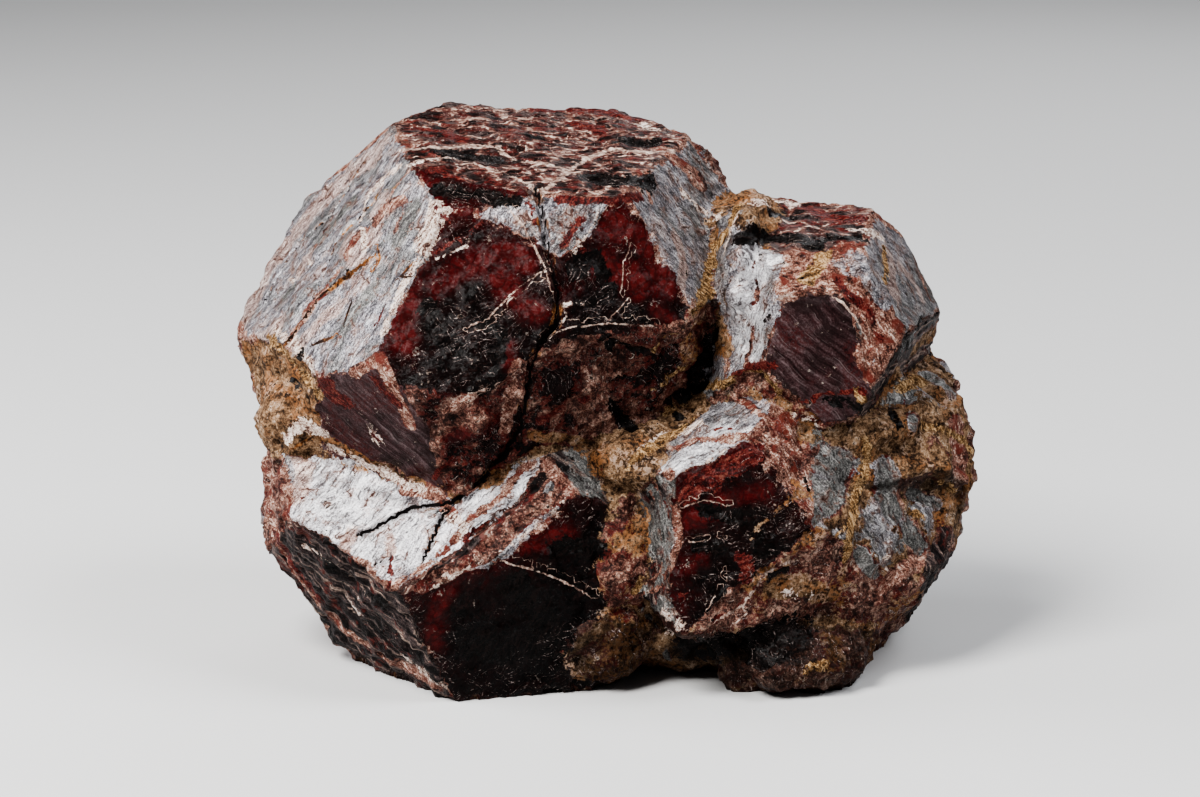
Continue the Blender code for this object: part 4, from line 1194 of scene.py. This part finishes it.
def film_colour(g, p, smooth_painted_sheen, dull, blush):
    """Silvery mica film: cool short streaks and grit, warm stains, crazed into little plates."""
    mixed = g.math("MULTIPLY_ADD", p.streak, 0.34, g.math("MULTIPLY", p.hair, 0.28))
    mixed = g.math("MULTIPLY_ADD", p.grit, 0.38, mixed)
    tone = g.ramp(mixed, [(0.40, (0.012, 0.011, 0.013)), (0.45, (0.050, 0.047, 0.053)), (0.495, (0.135, 0.128, 0.139)),
                          (0.545, (0.26, 0.25, 0.263)), (0.61, (0.50, 0.49, 0.50))])
    painted_sheen_tone = g.ramp(mixed, [(0.39, (0.055, 0.050, 0.052)), (0.45, (0.20, 0.190, 0.197)), (0.51, (0.385, 0.377, 0.39)),
                            (0.60, (0.62, 0.61, 0.62))])
    matt = g.ramp(mixed, [(0.40, (0.012, 0.0115, 0.011)), (0.45, (0.040, 0.039, 0.0375)), (0.51, (0.098, 0.096, 0.092)),
                          (0.60, (0.26, 0.25, 0.24))])
    pink = g.ramp(mixed, [(0.40, (0.040, 0.023, 0.021)), (0.45, (0.13, 0.085, 0.077)), (0.51, (0.28, 0.208, 0.188)),
                          (0.60, (0.54, 0.46, 0.42))])
    tone = g.blend(g.step(p.broad, 0.51, 0.42, 0.7), tone, matt)
    # painted sheen: smooth film painted lighter, as where it catches the light
    tone = g.blend(g.step(smooth_painted_sheen, 0.3, 0.7), tone, painted_sheen_tone)
    warm = g.both(g.step(p.broad, 0.49, 0.60, 0.7), g.step(p.medium, 0.44, 0.56))
    warm = g.both(warm, g.step(smooth_painted_sheen, 0.9, 0.2, 0.6))
    warm = g.math("ADD", warm, g.both(g.step(p.web, 0.50, 0.60, 0.4), g.step(p.fine, 0.42, 0.56)))
    tone = g.blend(g.math("MAXIMUM", warm, blush), tone, pink)
    tone = g.blend(dull, tone, matt)
    tone = g.blend(g.step(p.fleck, 0.445, 0.375, 0.8), tone, (0.024, 0.018, 0.019))
    broken = g.both(g.step(p.medium, 0.47, 0.55), g.step(p.web, 0.42, 0.52))
    tone = g.blend(g.both(g.step(p.plates, 0.15, 0.03, 0.5), broken), tone, (0.20, 0.115, 0.09))
    return g.blend(g.both(g.step(p.plates, 0.045, 0.02, 0.9), broken), tone, (0.030, 0.012, 0.009))


def glass_colour(g, p, painted_glow):
    """Broken garnet glass: nearly black inside, and deep red where light comes in, painted as glow."""
    depth = g.math("MULTIPLY_ADD", p.broad, 1.1, -0.50)
    depth = g.math("ADD", depth, painted_glow)
    depth = g.math("MULTIPLY_ADD", p.chip, 0.16, g.math("SUBTRACT", depth, 0.08))
    depth = g.math("MULTIPLY_ADD", p.medium, 0.8, g.math("SUBTRACT", depth, 0.40))
    depth = g.math("MULTIPLY_ADD", p.grit, 0.5, g.math("SUBTRACT", depth, 0.25))
    tone = g.ramp(depth, [(0.0, (0.0020, 0.0015, 0.0014)), (0.25, (0.0052, 0.0022, 0.0021)),
                          (0.5, (0.0145, 0.0022, 0.0022)), (0.8, (0.032, 0.0028, 0.0030)), (1.0, (0.055, 0.0062, 0.0060))])
    tone = g.blend(g.step(p.shell, 0.16, 0.02, 0.5), tone, (0.005, 0.0018, 0.0017))
    return g.blend(g.both(g.step(p.streak, 0.52, 0.64, 0.35), g.step(p.fine, 0.42, 0.58)), tone, (0.026, 0.010, 0.009))


def dusk_colour(g, p):
    """Smooth purple-brown facet with fine stripes."""
    mixed = g.math("MULTIPLY_ADD", p.streak, 0.30, g.math("MULTIPLY", p.stripe, 0.42))
    mixed = g.math("MULTIPLY_ADD", p.grit, 0.28, mixed)
    tone = g.ramp(mixed, [(0.40, (0.008, 0.0035, 0.0037)), (0.46, (0.021, 0.0090, 0.0095)),
                          (0.52, (0.038, 0.020, 0.021)), (0.62, (0.095, 0.065, 0.067))])
    red = g.both(g.step(p.broad, 0.47, 0.58, 0.7), g.step(p.fine, 0.42, 0.56))
    tone = g.blend(red, tone, (0.040, 0.0075, 0.0072))
    tone = g.blend(g.both(g.step(p.broad, 0.52, 0.40, 0.7), g.step(p.medium, 0.40, 0.54)), tone, (0.009, 0.005, 0.005))
    return g.blend(g.step(p.scratch, 0.62, 0.70, 0.45), tone, (0.17, 0.13, 0.13))


def layered_colour(g, p):
    """Dark lenses of garnet between pale flaky ridges."""
    depth = g.math("MULTIPLY_ADD", p.medium, 1.4, g.math("MULTIPLY_ADD", p.layer, 1.6, -1.05))
    tone = g.ramp(depth, [(0.22, (0.003, 0.002, 0.002)), (0.40, (0.009, 0.0035, 0.003)), (0.55, (0.034, 0.006, 0.005)),
                          (0.70, (0.080, 0.012, 0.010)), (0.86, (0.14, 0.055, 0.042))])
    ridge = g.math("MULTIPLY_ADD", p.fine, -0.35, g.math("ADD", p.lens, 0.175))
    ridge = g.math("MULTIPLY_ADD", p.layer, -0.45, g.math("ADD", ridge, 0.225))
    grey = g.both(g.step(p.web, 0.50, 0.58, 0.6), g.step(p.fleck, 0.44, 0.56))
    tone = g.blend(grey, tone, (0.085, 0.060, 0.056))
    tone = g.blend(g.step(ridge, 0.12, 0.04, 0.8), tone, (0.080, 0.030, 0.024))
    pale = g.ramp(p.fleck, [(0.42, (0.10, 0.050, 0.038)), (0.52, (0.25, 0.165, 0.132)), (0.62, (0.52, 0.42, 0.355))])
    specks = g.both(g.step(p.grit, 0.60, 0.68, 0.8), g.step(p.medium, 0.46, 0.56))
    return g.blend(g.math("MAXIMUM", g.step(ridge, 0.045, -0.01), specks), tone, pale)


def dusty_colour(g, p):
    """Worn pink and cream crust, flaky along the grain, over red."""
    mixed = g.math("MULTIPLY_ADD", p.medium, 0.28, g.math("MULTIPLY", p.grit, 0.34))
    mixed = g.math("MULTIPLY_ADD", p.fleck, 0.38, mixed)
    tone = g.ramp(mixed, [(0.41, (0.012, 0.005, 0.0045)), (0.455, (0.055, 0.019, 0.014)), (0.50, (0.135, 0.060, 0.043)),
                          (0.545, (0.255, 0.148, 0.116)), (0.62, (0.56, 0.44, 0.375))])
    return g.blend(g.both(g.step(p.web, 0.52, 0.58, 0.8), g.step(p.medium, 0.54, 0.46)), tone, (0.090, 0.016, 0.011))


def matrix_colour(g, p):
    """Tan mica matrix with dark gaps and rusty patches."""
    mixed = g.math("MULTIPLY_ADD", p.medium, 0.46, g.math("MULTIPLY", p.fine, 0.30))
    mixed = g.math("MULTIPLY_ADD", p.grit, 0.24, mixed)
    tone = g.ramp(mixed, [(0.41, (0.007, 0.004, 0.003)), (0.46, (0.036, 0.019, 0.010)), (0.51, (0.110, 0.062, 0.034)),
                          (0.56, (0.215, 0.136, 0.082)), (0.64, (0.44, 0.33, 0.235))])
    rusty = g.both(g.step(p.broad, 0.48, 0.58), g.step(p.fine, 0.45, 0.55, 0.7))
    tone = g.blend(rusty, tone, (0.19, 0.078, 0.030))
    tone = g.blend(g.both(g.step(p.swirl, 0.44, 0.37, 0.8), g.step(p.fine, 0.56, 0.46)), tone, (0.010, 0.006, 0.004))
    return g.blend(g.both(g.step(p.web, 0.57, 0.63), g.step(p.fine, 0.48, 0.56, 0.6)), tone, (0.34, 0.245, 0.19))


def slate_colour(g, p):
    """Dark splintery side with grey and cream streaks."""
    mixed = g.math("MULTIPLY_ADD", p.grit, 0.22, g.math("MULTIPLY", p.bands, 0.78))
    tone = g.ramp(mixed, [(0.42, (0.004, 0.003, 0.003)), (0.49, (0.014, 0.009, 0.009)), (0.54, (0.052, 0.037, 0.036)),
                          (0.59, (0.15, 0.105, 0.088)), (0.68, (0.42, 0.32, 0.26))])
    tone = g.blend(g.step(p.stripe, 0.47, 0.40, 0.9), tone, (0.004, 0.0032, 0.003))
    return g.blend(g.both(g.step(p.web, 0.55, 0.62, 0.8), g.step(p.fleck, 0.46, 0.54)), tone, (0.070, 0.014, 0.011))


def hackly_colour(g, p):
    """Rough brown-red broken ground."""
    mixed = g.math("MULTIPLY_ADD", p.medium, 0.38, g.math("MULTIPLY", p.fine, 0.26))
    mixed = g.math("MULTIPLY_ADD", p.chip, 0.08, g.math("MULTIPLY_ADD", p.grit, 0.28, mixed))
    tone = g.ramp(mixed, [(0.39, (0.006, 0.0035, 0.003)), (0.44, (0.028, 0.0105, 0.0082)),
                          (0.48, (0.075, 0.029, 0.022)), (0.53, (0.165, 0.080, 0.060)), (0.60, (0.38, 0.25, 0.195))])
    red = g.both(g.step(p.broad, 0.44, 0.54, 0.8), g.step(p.fine, 0.60, 0.48))
    tone = g.blend(red, tone, (0.070, 0.0085, 0.0070))
    tone = g.blend(g.step(p.swirl, 0.44, 0.36, 0.7), tone, (0.007, 0.0038, 0.0035))
    return g.blend(g.step(p.shell, 0.07, 0.02, 0.6), tone, (0.006, 0.003, 0.003))


# Each coat's colour, metallic share and roughness, from the lowest coat to the highest.
COAT_LOOKS = {
    "hackly": (hackly_colour, 0.0, 0.40),
    "slate": (slate_colour, 0.0, 0.42),
    "layered": (layered_colour, 0.0, 0.36),
    "glass": (glass_colour, 0.0, 0.12),
    "dusk": (dusk_colour, 0.1, 0.30),
    "dusty": (dusty_colour, 0.0, 0.60),
    "matrix": (matrix_colour, 0.0, 0.70),
    "film": (film_colour, 0.35, 0.38),
}


def stain_looks(g, p):
    """Stains over any coat, from the lowest to the highest: colour, raggedness and roughness."""
    grit = g.math("MULTIPLY_ADD", p.grit, 0.45, g.math("MULTIPLY", p.fleck, 0.55))
    return {
        "cream": (g.ramp(grit, [(0.41, (0.030, 0.012, 0.010)), (0.46, (0.18, 0.115, 0.092)),
                                (0.51, (0.38, 0.295, 0.25)), (0.60, (0.64, 0.57, 0.52))]), 2.6, 0.6),
        "ochre": (g.ramp(grit, [(0.41, (0.022, 0.011, 0.005)), (0.50, (0.135, 0.070, 0.028)),
                                (0.60, (0.40, 0.27, 0.15))]), 2.2, 0.7),
        "red": (g.ramp(grit, [(0.42, (0.010, 0.0025, 0.0025)), (0.53, (0.070, 0.008, 0.007)),
                              (0.66, (0.17, 0.060, 0.042))]), 2.0, 0.35),
        # dark: dark glass, pits and breaks, and painted shade in hollows, gaps and undersides
        "dark_and_painted_shade": (g.ramp(grit, [(0.46, (0.002, 0.0017, 0.0016)), (0.60, (0.009, 0.0055, 0.005))]), 2.4, 0.14),
    }


def line_looks(g, p):
    """Lines over everything: colour inside the line and beside it, raggedness and roughness."""
    grit = g.math("MULTIPLY_ADD", p.fine, 0.5, g.math("MULTIPLY", p.fleck, 0.5))
    rust = g.ramp(grit, [(0.40, (0.016, 0.006, 0.003)), (0.50, (0.13, 0.046, 0.014)), (0.62, (0.36, 0.18, 0.075))])
    halo = g.ramp(grit, [(0.40, (0.13, 0.060, 0.042)), (0.60, (0.46, 0.34, 0.27))])
    pale = g.ramp(grit, [(0.40, (0.06, 0.030, 0.024)), (0.50, (0.24, 0.165, 0.135)), (0.62, (0.56, 0.46, 0.40))])
    gash = g.blend(g.step(p.broad, 0.44, 0.52), rust, (0.012, 0.005, 0.003))
    return {
        "vein": (gash, g.blend(g.step(p.fleck, 0.48, 0.54), rust, halo), 1.2, 0.6),
        "scar": (pale, None, 2.6, 0.5),
        "crack": ((0.003, 0.002, 0.002), gash, 0.8, 0.7),
    }


class Finish:
    """Colour, metal and roughness of the skin so far, built up one cover at a time."""

    def __init__(self, g, colour, metal, rough):
        self.g, self.colour, self.metal, self.rough = g, colour, metal, rough

    def cover(self, share, colour, metal, rough):
        self.colour = self.g.blend(share, self.colour, colour)
        self.metal = self.g.between(share, self.metal, metal)
        self.rough = self.g.between(share, self.rough, rough)


def painted_glint_threads(g, p, share):
    """Fine pale lines on the edges of broken glass, short scratches that cross: partly pale scratches, partly painted
    glints.
    """
    amount = 0.0
    for scratch, where in zip(p.scratches, (p.broad, p.web, p.swirl)):
        line = g.both(g.step(scratch, 0.64, 0.71, 0.9), g.step(where, 0.48, 0.56))
        amount = g.math("MAXIMUM", amount, line)
    ground = g.math("MAXIMUM", share["glass"], g.math("MAXIMUM", share["hackly"], share["layered"]))
    ground = g.both(ground, g.step(share["painted_glow"], 0.75, 0.35))
    return g.both(g.both(amount, ground), g.step(share["smooth_painted_sheen"], 0.6, 0.1))


def draw_line(g, p, finish, kind, look, share, ragged):
    """A line from its distance on either side, with its lip where it has one."""
    inside, beside, fray, rough = look
    gap = g.math("ABSOLUTE", share[kind + "_side"])
    close = g.step(share[kind], 0.45, 0.75)
    gap = g.math("MULTIPLY_ADD", ragged, -fray, gap)
    if beside is not None:
        lip = g.both(g.step(gap, 1.6, 1.3, 0.8), g.step(p.medium, 0.50, 0.57))
        finish.cover(g.both(lip, close), beside, 0.0, rough)
    shown = g.step(p.medium, 0.38, 0.46) if kind == "scar" else g.step(p.medium, 0.2, 0.3)
    finish.cover(g.both(g.both(g.step(gap, 1.15, 0.85), close), shown), inside, 0.0, rough)


def cluster_material():
    material = bpy.data.materials.new("garnet_coats")
    g = Graph(material)
    p = Patterns(g)
    share = {}
    for name, kinds in ATTRIBUTES.items():
        share.update(zip(kinds, g.channels(name)))

    ragged = g.math("MULTIPLY_ADD", p.medium, 0.9, g.math("MULTIPLY", p.fine, 0.7))
    ragged = g.math("SUBTRACT", ragged, 0.8)
    finish = Finish(g, hackly_colour(g, p), 0.0, 0.42)
    dull = g.step(g.math("MULTIPLY_ADD", ragged, 0.8, share["dull"]), 0.30, 0.70)
    blush = g.step(g.math("MULTIPLY_ADD", ragged, 1.4, share["blush"]), 0.30, 0.70)
    extra = {"glass": (share["painted_glow"],), "film": (share["smooth_painted_sheen"], dull, blush)}
    for coat, (colour, metal, rough) in COAT_LOOKS.items():
        tone = colour(g, p, *extra.get(coat, ()))
        torn = g.both(share[coat], g.math("SUBTRACT", 1.0, share[coat]))
        torn = g.both(g.both(torn, g.math("SUBTRACT", p.broad, 0.5)), 9.0)
        amount = g.math("ADD", g.math("ADD", share[coat], ragged), torn)
        finish.cover(g.step(amount, 0.44, 0.56), tone, metal, rough)
    smooth = g.math("MAXIMUM", share["film"], share["dusk"])

    worn = g.math("MULTIPLY_ADD", p.broad, 1.6, g.math("SUBTRACT", ragged, 0.75))
    rim = g.step(g.math("MULTIPLY_ADD", g.attribute("edge"), share["crust"], worn), 0.50, 0.62)
    finish.cover(rim, dusty_colour(g, p), 0.0, 0.6)
    crust = g.both(g.attribute("seam"), share["crust"])
    crust = g.step(g.math("MULTIPLY_ADD", ragged, 1.4, crust), 0.50, 0.64)
    finish.cover(crust, matrix_colour(g, p), 0.0, 0.7)
    # painted shade: low and under ground darkened towards near black
    finish.colour = g.blend(g.step(share["painted_shade"], 0.2, 0.8, 0.7), finish.colour, (0.004, 0.0025, 0.0015))
    for stain, (tone, fray, rough) in stain_looks(g, p).items():
        finish.cover(g.step(g.math("MULTIPLY_ADD", ragged, fray, share[stain]), 0.42, 0.58), tone, 0.0, rough)
    # colour of the painted glint lines
    painted_glint_tint = g.ramp(p.grit, [(0.40, (0.018, 0.009, 0.008)), (0.52, (0.070, 0.044, 0.039)), (0.66, (0.40, 0.34, 0.32))])
    finish.cover(painted_glint_threads(g, p, share), painted_glint_tint, 0.0, 0.4)
    for kind, look in line_looks(g, p).items():
        draw_line(g, p, finish, kind, look, share, ragged)

    g.put(g.shader.inputs["Base Color"], finish.colour)
    g.put(g.shader.inputs["Metallic"], finish.metal)
    g.put(g.shader.inputs["Roughness"], finish.rough)
    g.shader.inputs["IOR"].default_value = 1.5
    g.shader.inputs["Specular IOR Level"].default_value = 0.06
    broken = g.math("MAXIMUM", share["glass"], g.math("MAXIMUM", share["hackly"], share["slate"]))
    layers = g.math("MAXIMUM", share["layered"], share["slate"])
    height = g.math("MULTIPLY_ADD", p.medium, 0.10, g.math("MULTIPLY", p.fine, 0.07))
    height = g.math("MULTIPLY_ADD", g.both(p.lean, broken), 0.32, height)
    height = g.math("MULTIPLY_ADD", g.both(p.small_lean, broken), 0.30, height)
    flaky = g.math("MULTIPLY_ADD", layers, 0.16, g.both(smooth, 0.05))
    height = g.math("MULTIPLY_ADD", p.fleck, flaky, height)
    bump = g.nodes.new("ShaderNodeBump")
    bump.inputs["Strength"].default_value = 0.9
    bump.inputs["Distance"].default_value = MM
    g.put(bump.inputs["Height"], height)
    g.put(g.shader.inputs["Normal"], bump.outputs[0])
    return material


# ---------------------------------------------------------------- studio

def add_floor():
    bm = bmesh.new()
    bmesh.ops.create_grid(bm, x_segments=1, y_segments=1, size=3.0)
    mesh = bpy.data.meshes.new("floor")
    bm.to_mesh(mesh)
    bm.free()
    floor = bpy.data.objects.new("floor", mesh)
    bpy.context.scene.collection.objects.link(floor)
    material = bpy.data.materials.new("floor_paper")
    g = Graph(material)
    g.shader.inputs["Base Color"].default_value = (0.50, 0.50, 0.50, 1.0)
    g.shader.inputs["Roughness"].default_value = 0.9
    mesh.materials.append(material)


def add_soft_box(name, place, size, power, colour):
    """A soft box at a place in mm, turned to the cluster."""
    light = bpy.data.lights.new(name, "AREA")
    light.shape = "RECTANGLE"
    light.size, light.size_y = (side * MM for side in size)
    light.energy = power
    light.color = colour
    obj = bpy.data.objects.new(name, light)
    obj.location = Vector(place) * MM
    aim = Vector((0, 0, 18)) * MM - obj.location
    obj.rotation_euler = aim.to_track_quat("-Z", "Y").to_euler()
    bpy.context.scene.collection.objects.link(obj)


def add_world():
    world = bpy.data.worlds.new("studio")
    world.use_nodes = True
    background = world.node_tree.nodes["Background"]
    background.inputs["Color"].default_value = (0.9, 0.93, 1.0, 1.0)
    background.inputs["Strength"].default_value = 0.12
    bpy.context.scene.world = world


def add_camera():
    data = bpy.data.cameras.new("camera")
    data.lens = CAMERA_LENS
    data.sensor_width = CAMERA_SENSOR
    data.sensor_fit = "HORIZONTAL"
    data.clip_start = 0.01
    data.clip_end = 20.0
    camera = bpy.data.objects.new("camera", data)
    away = Vector(viewing_axes(0, CAMERA_RISE)[2])
    target = Vector(CAMERA_TARGET) + Vector(BASE_SHIFT)
    camera.location = (target + away * CAMERA_DISTANCE) * MM
    camera.rotation_euler = away.to_track_quat("Z", "Y").to_euler()
    bpy.context.scene.collection.objects.link(camera)
    bpy.context.scene.camera = camera


def set_contrast():
    """Dark glass and pale mica side by side, as a studio print shows them."""
    bpy.context.scene.view_settings.view_transform = "AgX"
    bpy.context.scene.view_settings.look = "AgX - Medium High Contrast"


def main():
    add_camera()
    set_contrast()
    add_world()
    add_floor()
    add_soft_box("key", (-135, -150, 262), (130, 150), 2.3, (1.0, 0.985, 0.96))
    add_soft_box("left", (-280, 30, 120), (120, 160), 0.9, (0.97, 0.98, 1.0))
    add_soft_box("right", (190, -60, 250), (150, 150), 0.85, (0.97, 0.98, 1.0))
    add_soft_box("back", (110, 270, 190), (170, 150), 0.3, (0.97, 0.98, 1.0))
    skin = grow_skin(lay_marks())
    skin.data.materials.clear()
    skin.data.materials.append(cluster_material())
    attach(skin, "root")
    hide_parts("garnet_cluster")


main()
